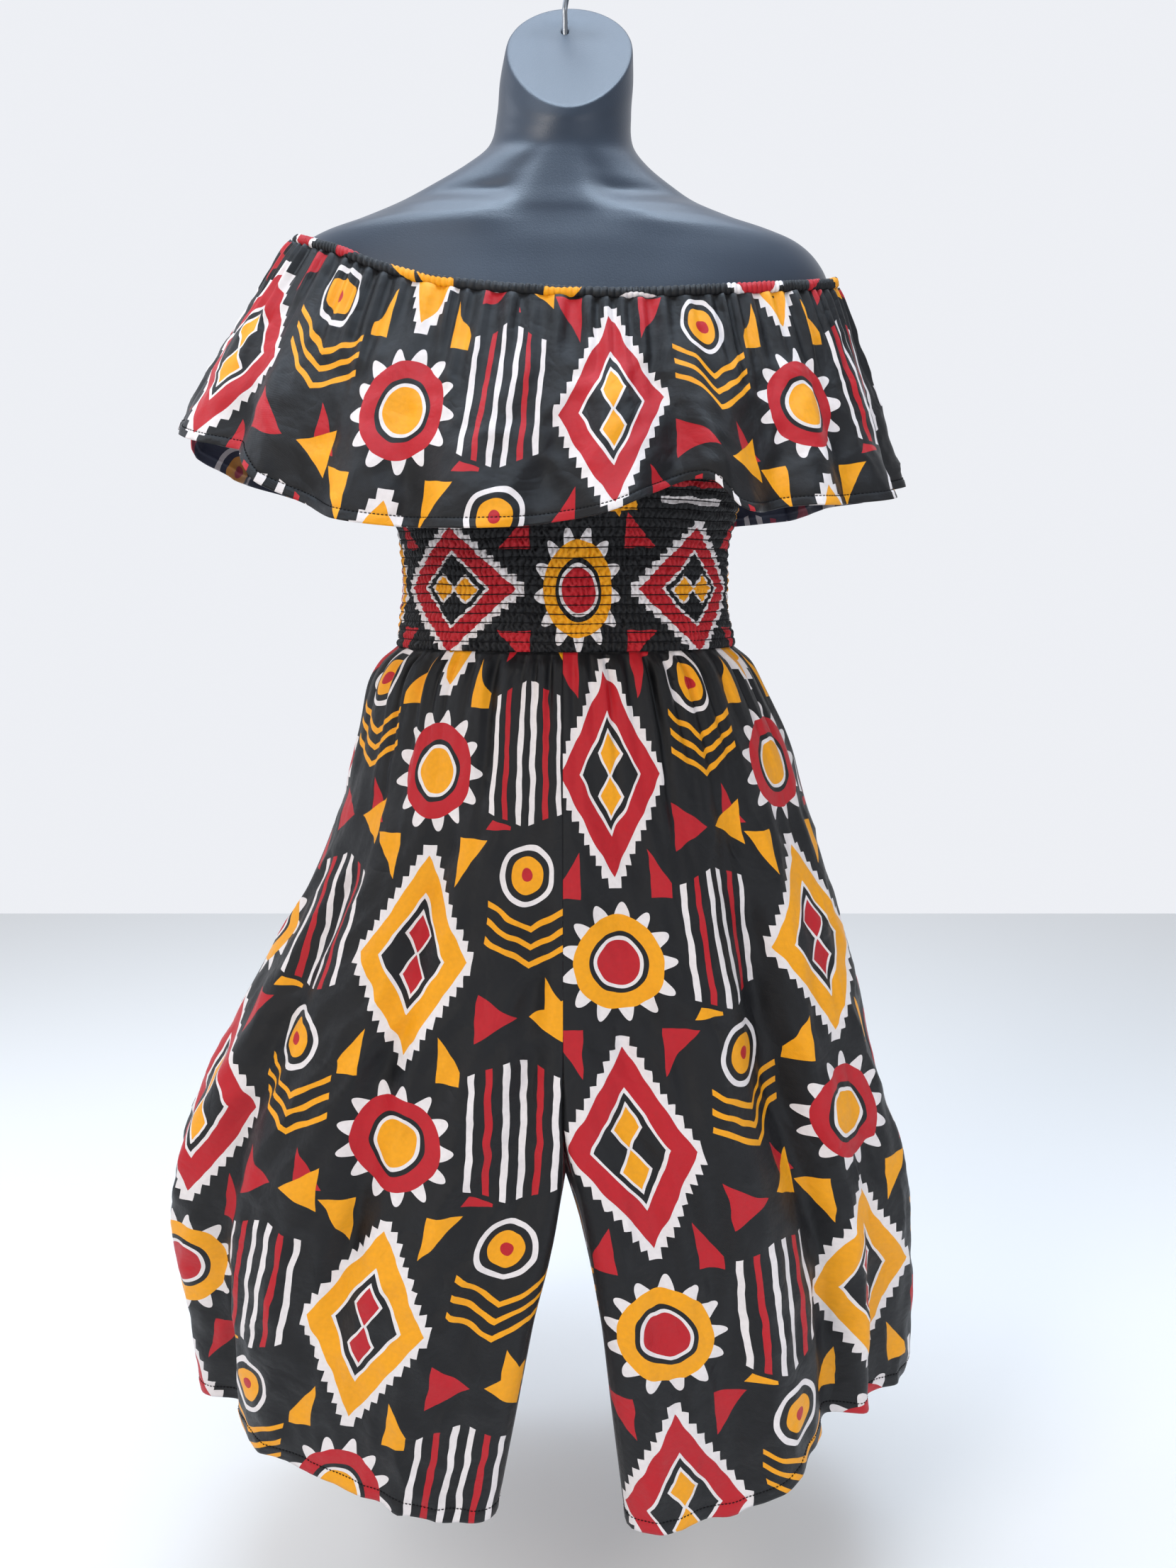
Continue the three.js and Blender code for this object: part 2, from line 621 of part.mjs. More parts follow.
function ruffleHalf(firstAngle) {
  const seamDegrees = seamGap / 2 / ruffleHem.front / radians(1);
  return clothPanel({
    point: (u, station) => {
      const degrees = firstAngle + seamDegrees + u * (180 - 2 * seamDegrees);
      const place = rufflePoint(degrees, station);
      const onSeam = u === 0 || u === 1;
      if (onSeam) place.y = (firstAngle < 0 ? -1 : 1) * (seamGap / 2);
      return place;
    },
    columns: 3 * ruffleGathersPerHalf,
    stations: [0, 0.07, 0.22, 0.42, 0.64, 0.84, 1],
    flatEdges: { start: 'y', end: () => 'y' },
  });
}

// The plain bodice between the neckline and the smocked band, which narrows at the armholes
function bodiceHalf(middleAngle) {
  return clothPanel({
    point: (u, station) => {
      const widestDrop = smockTopDrop - seamGap;
      const spreadAt = (drop) =>
        THREE.MathUtils.lerp(strapAngle, 90, smoothStep(drop, armholeTopDrop, underarmDrop));
      const across = 2 * u - 1;
      const topAngle = middleAngle + across * strapAngle;
      const topDrop = read(neckline, 'angle', 'drop', topAngle) + casingHeight / 2 + 2 * seamGap;
      const drop = THREE.MathUtils.lerp(topDrop, widestDrop, station);
      const degrees = middleAngle + across * spreadAt(drop);
      const { point, outward } = torsoFrame(degrees, drop);
      point.addScaledVector(outward, bodiceGap + clothThickness);
      const front = middleAngle === 0 ? -1 : 1;
      point.y = front * Math.max(front * point.y, seamGap / 2);
      point.z = -drop;
      return point;
    },
    columns: 16,
    stations: [0, 0.17, 0.34, 0.5, 0.66, 0.82, 1],
    flatEdges: { start: 'y', end: () => 'y', foot: true },
  });
}

// The smocked band: each elastic row draws the cloth in, over a plain inside
function smockHalf(firstAngle) {
  const height = waistDrop - smockTopDrop;
  const columns = 14;
  const halfSign = firstAngle < 0 ? -1 : 1;
  const band = (drop, grow) =>
    Array.from({ length: columns + 1 }, (_, i) => {
      const place = ovalPoint(ringAt(smockRings, drop), firstAngle + (180 * i) / columns, grow);
      if (i === 0 || i === columns) place.y = halfSign * (seamGap / 2);
      return place;
    });
  const outerRows = 2 * elasticRows;
  const outer = Array.from({ length: outerRows + 1 }, (_, j) =>
    band(smockTopDrop + (height * j) / outerRows, j % 2 === 0 ? -elasticRelief : 0),
  );
  const innerRows = 6;
  const inner = Array.from({ length: innerRows + 1 }, (_, j) =>
    band(smockTopDrop + (height * j) / innerRows, -elasticRelief - clothThickness),
  );
  return wallBetween(outer, inner);
}

// The outline of a trouser panel at one height, in its own quarter: x away from the middle, y forwards of
// the side line (or behind it, for a back). It runs from the outer seam round the oval to the corner where
// the cloth turns inwards, then along the middle to the centre seam or the inseam.
function trouserOutline(ring, { halfName, depthName, cornerName }) {
  const half = ring[halfName];
  const depth = ring[depthName];
  const corner = Math.max(ring[cornerName], seamGap / 2);
  const inseam = Math.max(ring.inseam, seamGap / 2);
  const sweep = THREE.MathUtils.clamp((ring.drop - crotchCurveDrop) / (crotchDrop - crotchCurveDrop), 0, 1);
  const edgeDepth = Math.max(depth * Math.cos((Math.PI / 2) * sweep) ** crotchFullness, seamGap / 2);
  const oval = Array.from({ length: outlineSteps + 1 }, (_, i) => {
    const angle = (Math.PI / 2) * (i / outlineSteps);
    const y = seamGap / 2 + (depth - seamGap / 2) * Math.sin(angle);
    return new THREE.Vector2(corner + (half - corner) * Math.cos(angle), y);
  });
  const inwardLength = depth - edgeDepth;
  if (inwardLength < seamGap) return { outline: oval, cornerAt: lengthOf(oval) };
  const tip = oval[outlineSteps];
  const edge = new THREE.Vector2(ring.drop <= crotchDrop ? seamGap / 2 : inseam, edgeDepth);
  const opened = smoothStep(ring.drop, crotchCurveDrop, hemDrop);
  const turn = Math.min(cornerRadius * (0.15 + 0.85 * opened), inwardLength * 0.5);
  const kept = oval.filter((place) => place.x > corner + turn);
  const finish = tip.clone().lerp(edge, turn / inwardLength);
  const curve = new THREE.QuadraticBezierCurve(kept[kept.length - 1], tip, finish).getPoints(8).slice(1);
  return {
    outline: [...kept, ...curve, edge],
    cornerAt: lengthOf(kept) + lengthOf([kept[kept.length - 1], ...curve]) / 2,
  };
}

function lengthOf(outline) {
  return outline.reduce((sum, place, i) => (i > 0 ? sum + place.distanceTo(outline[i - 1]) : 0), 0);
}

// The place at a distance along an outline, with the direction out of it
function placeAlong(outline, distance) {
  let [segment, passed] = [1, 0];
  let step = outline[1].distanceTo(outline[0]);
  while (passed + step < distance && segment < outline.length - 1) {
    passed += step;
    segment += 1;
    step = outline[segment].distanceTo(outline[segment - 1]);
  }
  const share = THREE.MathUtils.clamp((distance - passed) / step, 0, 1);
  const along = outline[segment].clone().sub(outline[segment - 1]).normalize();
  const place = outline[segment - 1].clone().lerp(outline[segment], share);
  return { place, outward: new THREE.Vector2(along.y, -along.x) };
}

// One of the four trouser panels. side is -1 for the wearer's right leg and 1 for the left, face is -1 for
// a front and 1 for a back. The last inwardColumns of its columns follow the cloth that turns inwards.
function trouserPanel(name, side, face) {
  const [waist, columns] = [trouserStations[0], 3 * gathersPerPanel];
  const ovalColumns = columns - inwardColumns;
  const columnNames = {
    halfName: side < 0 ? 'rightSide' : 'leftSide',
    depthName: face < 0 ? 'front' : 'back',
    cornerName: side > 0 && face < 0 ? 'leftFrontCorner' : 'corner',
  };
  const lines = new Map(
    trouserStations.map((drop) => {
      const ring = { ...ringAt(trouserRings, drop), ...ringAt(trouserSplits, drop) };
      const { outline, cornerAt } = trouserOutline(ring, columnNames);
      const evenly = cornerAt * (ovalColumns / columns);
      const settled = smoothStep(drop, waist, crotchCurveDrop);
      const ovalEnd = THREE.MathUtils.lerp(evenly, cornerAt - cornerLead, settled);
      const total = lengthOf(outline);
      const line = Array.from({ length: columns + 1 }, (_, i) => {
        const distance =
          i <= ovalColumns
            ? (ovalEnd * i) / ovalColumns
            : ovalEnd + ((total - ovalEnd) * (i - ovalColumns)) / inwardColumns;
        return { ...placeAlong(outline, distance), across: distance / cornerAt, cornerAt };
      });
      return [drop, line];
    }),
  );
  const foldLift = (across, drop, cornerAt) =>
    panelFolds[name].reduce((sum, fold) => {
      const centre = fold.across + fold.drift * ((drop - waist) / (hemDrop - waist));
      const shown = smoothStep(drop, fold.top, fold.top + foldGrowth);
      const ended = fold.foot < hemDrop ? 1 - smoothStep(drop, fold.foot - foldEnding, fold.foot) : 1;
      const fromCrest = ((across - centre) * cornerAt) / (foldSoftness * fold.reach);
      return sum + fold.height * shown * ended * hump(fromCrest);
    }, 0);
  const gatherLift = (column, drop) =>
    gatherHeight *
    Math.exp((waist - drop) / gatherFade) *
    smoothStep(drop, waist - 4, waist + 20) *
    (0.25 + 0.75 * Math.cos((2 * Math.PI * column) / 3));
  return clothPanel({
    point: (u, drop) => {
      const column = Math.round(u * columns);
      const { place, outward, across, cornerAt } = lines.get(drop)[column];
      const held = smoothStep(across, 0, flatByOuterSeam) * (1 - smoothStep(across, 1 - flatByInnerFold, 1));
      const lift = held * (gatherLift(column, drop) + foldLift(across, drop, cornerAt));
      const [x, y] = [place.x + lift * outward.x, place.y + lift * outward.y];
      const rise = read(hemRises, 'across', side < 0 ? 'right' : 'left', Math.min(across, 1));
      return new THREE.Vector3(side * x, face * y, -drop + rise * smoothStep(drop, hemRiseStart, hemDrop));
    },
    columns,
    stations: trouserStations,
    turn: side * face > 0 ? 1 : -1,
    flatEdges: {
      start: 'y',
      end: (drop) => (drop <= crotchCurveDrop ? 'x' : 'y'),
      top: true,
      foot: true,
    },
  });
}

// Assembly

const wasm = await Module();
wasm.setup();

const jumpsuit = new THREE.Group();

function addPiece(name, geometry, color, roughness, metalness = 0) {
  const mesh = new THREE.Mesh(geometry, new THREE.MeshStandardMaterial({ color, roughness, metalness }));
  mesh.name = name;
  jumpsuit.add(mesh);
}

addPiece('torso_form', socketedForm(wasm), colours.form, 0.4);
addPiece('hook', wireHook(), colours.wire, 0.35, 1);
addPiece('neck_casing', neckCasing(), colours.casing, 0.8);
addPiece('ruffle_front', ruffleHalf(-90), colours.print, 0.8);
addPiece('ruffle_back', ruffleHalf(90), colours.print, 0.8);
addPiece('bodice_front', bodiceHalf(0), colours.print, 0.8);
addPiece('bodice_back', bodiceHalf(180), colours.print, 0.8);
addPiece('smock_front', smockHalf(-90), colours.printSmocked, 0.85);
addPiece('smock_back', smockHalf(90), colours.printSmocked, 0.85);
for (const [name, side, face] of [
  ['right_front', -1, -1],
  ['right_back', -1, 1],
  ['left_front', 1, -1],
  ['left_back', 1, 1],
]) {
  addPiece(`leg_${name}`, trouserPanel(name, side, face), colours.print, 0.8);
}

export default jumpsuit;
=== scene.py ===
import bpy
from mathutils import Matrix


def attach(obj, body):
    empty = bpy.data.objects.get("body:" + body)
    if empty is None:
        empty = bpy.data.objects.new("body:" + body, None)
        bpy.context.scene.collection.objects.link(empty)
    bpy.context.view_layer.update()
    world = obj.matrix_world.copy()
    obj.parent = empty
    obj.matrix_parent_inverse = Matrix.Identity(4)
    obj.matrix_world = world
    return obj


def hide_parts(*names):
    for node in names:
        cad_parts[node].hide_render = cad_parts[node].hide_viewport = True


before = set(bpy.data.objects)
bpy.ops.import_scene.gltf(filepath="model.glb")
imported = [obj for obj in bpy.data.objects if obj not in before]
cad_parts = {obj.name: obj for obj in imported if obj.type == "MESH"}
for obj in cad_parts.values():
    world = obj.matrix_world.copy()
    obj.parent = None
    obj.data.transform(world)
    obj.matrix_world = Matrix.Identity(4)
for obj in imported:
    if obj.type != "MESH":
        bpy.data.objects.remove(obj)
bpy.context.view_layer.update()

import ast
import math

import bpy
import numpy as np
from mathutils import Vector

# An off-shoulder cotton jumpsuit on a hanging torso form. Sizes are in mm and meshes are made in metres.
# A height is a "drop", the distance below the hook's crown. An angle runs round the body in degrees, from
# the front centre, 0, to the wearer's left side, 90, the back centre, 180, and the right side, 270 or -90.

mm = 0.001
sideGap = 0.08        # mm from the side seams' plane to the cloth on each side of it


def table(names, *rows):
    # a short table as a dictionary of columns
    return dict(zip(names.split(), np.array(rows, float).T))


def read(rows, key, name, at):
    # one column of a table at any places, on cubic pieces whose slopes come from the rows on both sides
    x, y = rows[key], rows[name]
    slope = np.concatenate([
        [(y[1] - y[0]) / (x[1] - x[0])],
        (y[2:] - y[:-2]) / (x[2:] - x[:-2]),
        [(y[-1] - y[-2]) / (x[-1] - x[-2])],
    ])
    i = np.clip(np.searchsorted(x, at, side="right") - 1, 0, len(x) - 2)
    step = x[i + 1] - x[i]
    t = np.clip((at - x[i]) / step, 0, 1)
    start, end, rise = step * slope[i], step * slope[i + 1], y[i + 1] - y[i]
    return y[i] + t * (start + t * (3 * rise - 2 * start - end + t * (start + end - 2 * rise)))


def smoothStep(x, low, high):
    t = np.clip((x - low) / (high - low), 0, 1)
    return t * t * (3 - 2 * t)


def between(x, start, end):
    # 1 between two soft edges, each given by where it begins and where it ends
    return smoothStep(x, *start) * (1 - smoothStep(x, *end))


def hump(x):
    # a single soft hump of height 1 that ends at -1 and 1
    return 0.5 + 0.5 * np.cos(np.pi * np.clip(x, -1, 1))


def unit(v):
    return v / np.maximum(np.linalg.norm(v, axis=-1, keepdims=True), 1e-9)


def crumple(x, y, size, seed):
    # an uneven soft field from -1 to 1: a sum of sine waves of about one size in seeded directions
    waves = 7
    dice = np.random.default_rng(seed)
    total = np.zeros(np.broadcast(x, y).shape)
    for turn, stretch, phase in zip(*dice.uniform([[0], [0.7], [0]], [[6.3], [1.5], [6.3]], (3, waves))):
        total += np.sin(2 * np.pi * stretch * (x * math.cos(turn) + y * math.sin(turn)) / size + phase)
    return total / math.sqrt(2 * waves)


def creased(x, y, size, seed):
    # an uneven field from -1 to 1 with sharp crests: 1 - 2 |coarse field + 0.35 fine field|
    fields = crumple(x, y, size, seed) + 0.35 * crumple(x, y, size / 2.7, seed + 50)
    return 1 - 2 * np.abs(np.clip(fields, -1, 1))


def lengthOf(line):
    # how far along a line each of its points lies
    return np.concatenate([[0], np.cumsum(np.linalg.norm(np.diff(line, axis=0), axis=1))])


# ---- materials

def linear(hexColour):
    # an sRGB hex colour as linear RGBA
    channels = [int(hexColour[i:i + 2], 16) / 255 for i in (1, 3, 5)]
    return [c / 12.92 if c <= 0.04045 else ((c + 0.055) / 1.055) ** 2.4 for c in channels] + [1]


def feed(tree, node, inputs):
    # a node's inputs, each as a value or as a link from another node's socket
    for name, value in inputs.items():
        if isinstance(value, bpy.types.NodeSocket):
            tree.links.new(value, node.inputs[name])
        else:
            node.inputs[name].default_value = value


def addNode(tree, kind, inputs=None, **settings):
    node = tree.nodes.new(kind)
    for name, value in settings.items():
        setattr(node, name, value)
    feed(tree, node, inputs or {})
    return node


def addNoise(tree, place, scale, detail, **more):
    return addNode(tree, "ShaderNodeTexNoise", {"Vector": place, "Scale": scale, "Detail": detail} | more)


def addMix(tree, factor, low, high):
    mix = addNode(tree, "ShaderNodeMix", {"Factor": factor, 6: low, 7: high}, data_type="RGBA")
    return mix.outputs[2]


def addBump(tree, strength, distance, height):
    bump = addNode(tree, "ShaderNodeBump", {"Strength": strength, "Distance": distance, "Height": height})
    return bump.outputs[0]


mathOf = {
    ast.Add: "ADD", ast.Sub: "SUBTRACT", ast.Mult: "MULTIPLY", ast.Div: "DIVIDE", ast.Lt: "LESS_THAN",
    ast.Gt: "GREATER_THAN", "abs": "ABSOLUTE", "floor": "FLOOR", "fract": "FRACT", "sqrt": "SQRT",
    "sin": "SINE", "atan2": "ARCTAN2", "wrap": "WRAP",
}


def formula(tree, text, **known):
    # Math nodes for a sum written in words; a comparison gives 1 or 0, so a product of two means "and"
    def build(part):
        if isinstance(part, ast.Constant):
            return float(part.value)
        if isinstance(part, ast.Name):
            return known[part.id]
        if isinstance(part, ast.UnaryOp):    # a negative number
            return -build(part.operand)
        if isinstance(part, ast.Compare):
            return addMath(mathOf[type(part.ops[0])], build(part.left), build(part.comparators[0]))
        if isinstance(part, ast.BinOp):
            return addMath(mathOf[type(part.op)], build(part.left), build(part.right))
        return addMath(mathOf[part.func.id], *[build(value) for value in part.args])

    def addMath(operation, *values):
        return addNode(tree, "ShaderNodeMath", dict(enumerate(values)), operation=operation).outputs[0]

    return build(ast.parse(text).body[0].value)


def newMaterial(name):
    made = bpy.data.materials.new(name)
    made.use_nodes = True
    tree = made.node_tree
    return made, tree, tree.nodes["Principled BSDF"]


def objectPlace(tree):
    return addNode(tree, "ShaderNodeTexCoord").outputs["Object"]


printSizes = {
    "pitch": 195.0,      # between two lozenge columns
    "repeat": 300.0,     # down a column; every second column starts half a repeat lower
    "wobble": 1.3,       # the hand-cut unevenness of the edges
    "thread": 0.9,       # the weave, drawn at about twice its real thread spacing so that it shows
}
inks = {"black": "#0b0b0e", "red": "#b7121f", "yellow": "#f0a003", "white": "#e6dedc"}
inkPlace = {"black": 0.125, "red": 0.375, "yellow": 0.625, "white": 0.875}

# The print's motifs, each layer laid over the ones before. x and y are mm from a motif's middle, radius is
# the distance from it, and paintPrint works out stair, tooth, chevron and bar. first, second, barInk and
# pairInk are inks that change from column to column or from bar to bar.
lozengeInks = [
    ("(abs(x) < 57 - 0.6 * stair) * (stair < 94)", "white"),
    ("abs(x) / 50 + abs(y) / 81 < 1", "first"),
    ("abs(x) / 50 + abs(y) / 81 < 0.62", "white"),
    ("abs(x) / 50 + abs(y) / 81 < 0.56", "black"),
    ("abs(x) / 50 + abs(abs(y) - 17) / 81 < 0.25", "white"),
    ("abs(x) / 50 + abs(abs(y) - 17) / 81 < 0.2", "second"),
]
sunInks = [
    ("radius < 42 + 7 * tooth", "white"),
    ("radius < 38", "second"),
    ("radius < 25", "black"),
    ("radius < 21", "white"),
    ("radius < 18", "first"),
]
cornerInks = [
    ("(abs(x) > 32) * (abs(x) - 32 < (abs(y) - 60) * 0.7) * (abs(y) < 98)", "first"),
    ("(abs(x) > 56) * (abs(x) < 80) * (abs(y) > 106) * (abs(y) - 106 < (abs(x) - 56) * 1.4)", "second"),
]
bandInks = [
    ("(abs(x + 4) < 43) * (abs(y + 91) < 62 - 0.35 * abs(x + 4))", "black"),
    ("(abs(x - 4) < 42) * (abs(chevron) < 25)", "black"),
    ("(abs(x + 4) < 39) * (bar < 0.4) * (abs(y + 91) < 58 - 0.35 * abs(x + 4))", "barInk"),
    ("(radius < 24.5) * (radius > 20)", "white"),
    ("radius < 14.5", "yellow"),
    ("radius < 5", "red"),
    ("(abs(x - 4) < 38) * (wrap(chevron, 14, 0) < 5) * (abs(chevron) < 20)", "yellow"),
    ("(abs(x) > 5) * (abs(x) < 37) * (abs(y - 119) < (abs(x) - 5) * 0.6)", "pairInk"),
]


def paintPrint(tree):
    # the printed colour from the piece's UV map, which holds places on the flat cloth in metres
    place = addNode(tree, "ShaderNodeUVMap", uv_map="cloth").outputs[0]
    split = addNode(tree, "ShaderNodeSeparateXYZ", {0: place})
    jitter = addNoise(tree, place, 42.0, 1.0)
    shake = addNode(tree, "ShaderNodeSeparateColor", {0: jitter.outputs["Color"]})
    wobble = 4 * printSizes["wobble"]
    across = formula(tree, f"u * 1000 + (n - 0.5) * {wobble}", u=split.outputs[0], n=shake.outputs[0])
    down = formula(tree, f"v * 1000 + (n - 0.5) * {wobble}", v=split.outputs[1], n=shake.outputs[1])
    pitch, repeat = printSizes["pitch"], printSizes["repeat"]
    red, yellow, white = inkPlace["red"], inkPlace["yellow"], inkPlace["white"]

    def column(shift):
        # x from a column's middle, and which of two kinds of column it is
        number = formula(tree, f"floor(a / {pitch} + {shift})", a=across)
        x = formula(tree, f"a - c * {pitch} + {(shift - 0.5) * pitch}", a=across, c=number)
        return x, formula(tree, "wrap(c, 2, 0)", c=number)

    def rowPlace(turn, start):
        # y from a motif's middle, with every second column half a repeat lower
        text = f"wrap(b + turn * {0.5 * repeat} + {start * repeat}, {repeat}, 0) - {0.5 * repeat}"
        return formula(tree, text, b=down, turn=turn)

    def lay(layers, ink, **known):
        for text, name in layers:
            wanted = known.get(name, inkPlace.get(name))
            mask = formula(tree, text, **known)
            ink = formula(tree, "old + mask * (new - old)", old=ink, mask=mask, new=wanted)
        return ink

    ink = inkPlace["black"]
    x, turn = column(0.0)
    first = formula(tree, f"{red} + turn * {yellow - red}", turn=turn)
    second = formula(tree, f"{yellow} + turn * {red - yellow}", turn=turn)
    for start, layers in ((0.5, lozengeInks), (1.0, sunInks), (0.5, cornerInks)):
        y = rowPlace(turn, start)
        ink = lay(
            layers, ink, x=x, y=y, turn=turn, first=first, second=second,
            stair=formula(tree, "(floor(abs(y) / 9) + 0.5) * 9", y=y),
            radius=formula(tree, "sqrt(x * x + y * y)", x=x, y=y),
            tooth=formula(tree, "sin(atan2(x, y) * 13)", x=x, y=y),
        )
    x, turn = column(0.5)
    y = rowPlace(turn, 0.25)
    barNumber = formula(tree, "wrap(floor((x + 82) / 13), 3, 0)", x=x)
    ink = lay(
        bandInks, ink, x=x, y=y,
        radius=formula(tree, "sqrt(x * x + (y - 4) * (y - 4))", x=x, y=y),
        chevron=formula(tree, "y - 60 + 0.55 * abs(x - 4)", x=x, y=y),
        bar=formula(tree, "abs(fract((x + 82) / 13) - 0.5) * 2", x=x),
        barInk=formula(tree, f"{white} - (abs(n - 1) < 0.5) * {white - red}", n=barNumber),
        pairInk=formula(tree, f"{red} + (x > 0) * {yellow - red}", x=x),
    )
    ramp = addNode(tree, "ShaderNodeValToRGB", {0: ink})
    ramp.color_ramp.interpolation = "CONSTANT"
    stops = ramp.color_ramp.elements
    for i, (name, colour) in enumerate(inks.items()):
        start = i / len(inks)
        stop = stops[i] if i < 2 else stops.new(start)
        stop.position = start
        stop.color = linear(colour)
    return place, split, ramp.outputs[0]


def printedCotton(name, wrongSide=False):
    # Wax-style printed cotton: plain-woven, crisp and a little glazed, with ink that sits in the threads.
    # On the wrong side the print is mixed most of the way towards a dark blue.
    made, tree, shader = newMaterial(name)
    place, split, colour = paintPrint(tree)
    count = 2 * math.pi * 1000 / printSizes["thread"]
    weave = formula(tree, f"sin(u * {count}) * sin(v * {count})", u=split.outputs[0], v=split.outputs[1])
    mottle = addNoise(tree, place, 260.0, 3.0).outputs[0]
    cloudy = addNoise(tree, place, 14.0, 4.0).outputs[0]
    crease = addNoise(tree, place, 30.0, 5.0, Roughness=0.55).outputs[0]
    pressed = addNoise(tree, place, 17.0, 3.0, Distortion=0.6).outputs[0]
    shade = formula(
        tree, "0.97 + weave * 0.045 + (mottle - 0.5) * 0.22 + (cloudy - 0.5) * 0.16",
        weave=weave, mottle=mottle, cloudy=cloudy,
    )
    tinted = addNode(tree, "ShaderNodeVectorMath", {0: colour, "Scale": shade}, operation="SCALE").outputs[0]
    height = formula(
        tree, "weave * 0.03 + crease * 0.8 + abs(pressed - 0.5) * 2.2 + mottle * 0.07",
        weave=weave, crease=crease, pressed=pressed, mottle=mottle,
    )
    feed(tree, shader, {
        "Base Color": addMix(tree, 0.62, tinted, linear("#141d38")) if wrongSide else tinted,
        "Normal": addBump(tree, 0.6, 0.0042, height),
        "Roughness": formula(tree, "0.42 + (mottle - 0.5) * 0.24", mottle=mottle),
        "Specular IOR Level": 0.3, "Sheen Weight": 0.05, "Sheen Roughness": 0.4,
    })
    return made


def mouldedPlastic():
    # Injection-moulded polystyrene, satin and dark slate: the mould's fine grain breaks up the highlight
    made, tree, shader = newMaterial("mouldedPolystyrene")
    place = objectPlace(tree)
    grain = addNoise(tree, place, 900.0, 2.0).outputs[0]
    handling = addNoise(tree, place, 9.0, 5.0).outputs[0]
    feed(tree, shader, {
        "Base Color": addMix(tree, handling, linear("#242d39"), linear("#303b4a")),
        "Roughness": formula(tree, "0.38 + (n - 0.5) * 0.16", n=handling),
        "Normal": addBump(tree, 0.25, 0.0004, grain),
        "IOR": 1.5,
    })
    return made


def drawnSteel():
    # Bright drawn steel wire, with fine marks from the die
    made, tree, shader = newMaterial("drawnSteelWire")
    place = objectPlace(tree)
    marks = addNoise(tree, place, 1400.0, 2.0).outputs[0]
    feed(tree, shader, {
        "Base Color": linear("#8f9398"), "Metallic": 1.0,
        "Roughness": formula(tree, "0.33 + (n - 0.5) * 0.2", n=marks),
        "Normal": addBump(tree, 0.2, 0.0002, marks),
    })
    return made


def spunThread(name, colour, lit):
    # Polyester thread: the twist gives it a slanting ribbed edge, lit on its crests
    made, tree, shader = newMaterial(name)
    place = objectPlace(tree)
    wave = {"Vector": place, "Scale": 700.0}
    twist = addNode(tree, "ShaderNodeTexWave", wave, bands_direction="DIAGONAL").outputs[1]
    feed(tree, shader, {
        "Base Color": addMix(tree, twist, linear(colour), linear(lit)),
        "Roughness": 0.7, "Specular IOR Level": 0.2,
        "Normal": addBump(tree, 0.5, 0.0003, twist),
    })
    return made


def paintedWall():
    # Matt pale emulsion: no gloss, only the roller's faint stipple
    made, tree, shader = newMaterial("mattPaleEmulsion")
    place = objectPlace(tree)
    stipple = addNoise(tree, place, 60.0, 4.0).outputs[0]
    feed(tree, shader, {
        "Base Color": linear("#f4f4f3"), "Roughness": 0.95,
        "Normal": addBump(tree, 0.05, 0.001, stipple),
    })
    return made


cottonFace = printedCotton("printedCottonFace")
cottonBack = printedCotton("printedCottonWrongSide", wrongSide=True)
formPlastic = mouldedPlastic()
hookSteel = drawnSteel()
blackThread = spunThread("blackPolyesterThread", "#060607", "#17171a")
wallPaint = paintedWall()
print("materials made")


# ---- meshes

def addMesh(name, points, faces, materials, uv=None, closedEnds=0):
    # closedEnds is the size of a closed grid's first and last ring, where a face closes each of them
    mesh = bpy.data.meshes.new(name)
    flat = points.reshape(-1, 3) * mm
    faces = faces.tolist()
    if closedEnds:
        faces += [list(range(closedEnds)), list(range(len(flat) - closedEnds, len(flat)))[::-1]]
    mesh.from_pydata(flat.tolist(), [], faces)
    mesh.polygons.foreach_set("use_smooth", np.ones(len(mesh.polygons), bool))
    if uv is not None:
        corners = np.empty(len(mesh.loops), np.int32)
        mesh.loops.foreach_get("vertex_index", corners)
        layer = mesh.uv_layers.new(name="cloth")
        layer.data.foreach_set("uv", uv.reshape(-1, 2)[corners].astype(np.float32).ravel())
    for material in materials:
        mesh.materials.append(material)
    made = bpy.data.objects.new(name, mesh)
    bpy.context.collection.objects.link(made)
    return made


def gridFaces(rows, columns, wrapRows=False, wrapColumns=False, flip=False):
    # four-sided faces between neighbouring points of a grid, closed on itself where asked
    j = np.arange(rows if wrapRows else rows - 1)[:, None]
    i = np.arange(columns if wrapColumns else columns - 1)[None, :]
    nextJ, nextI = (j + 1) % rows, (i + 1) % columns
    faces = np.stack([
        j * columns + i, nextJ * columns + i, nextJ * columns + nextI, j * columns + nextI,
    ], axis=-1).reshape(-1, 4)
    return faces[:, ::-1] if flip else faces


def carry(piece, slot, *nodes):
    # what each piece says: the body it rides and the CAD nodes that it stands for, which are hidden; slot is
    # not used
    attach(piece, "root")
    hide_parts(*nodes)


def addCloth(name, node, points, u, v, flip=False, thickness=0.9, slot="printed_cotton"):
    # a sheet of cloth on a grid, its wrong side inwards; u and v are each point's place on the flat cloth
    rows, columns = points.shape[:2]
    uv = np.stack(np.broadcast_arrays(u, v), -1) * mm
    piece = addMesh(name, points, gridFaces(rows, columns, flip=flip), [cottonFace, cottonBack], uv)
    if thickness:
        wall = piece.modifiers.new("thickness", "SOLIDIFY")
        wall.thickness = thickness * mm
        wall.material_offset = 1
    carry(piece, slot, node)


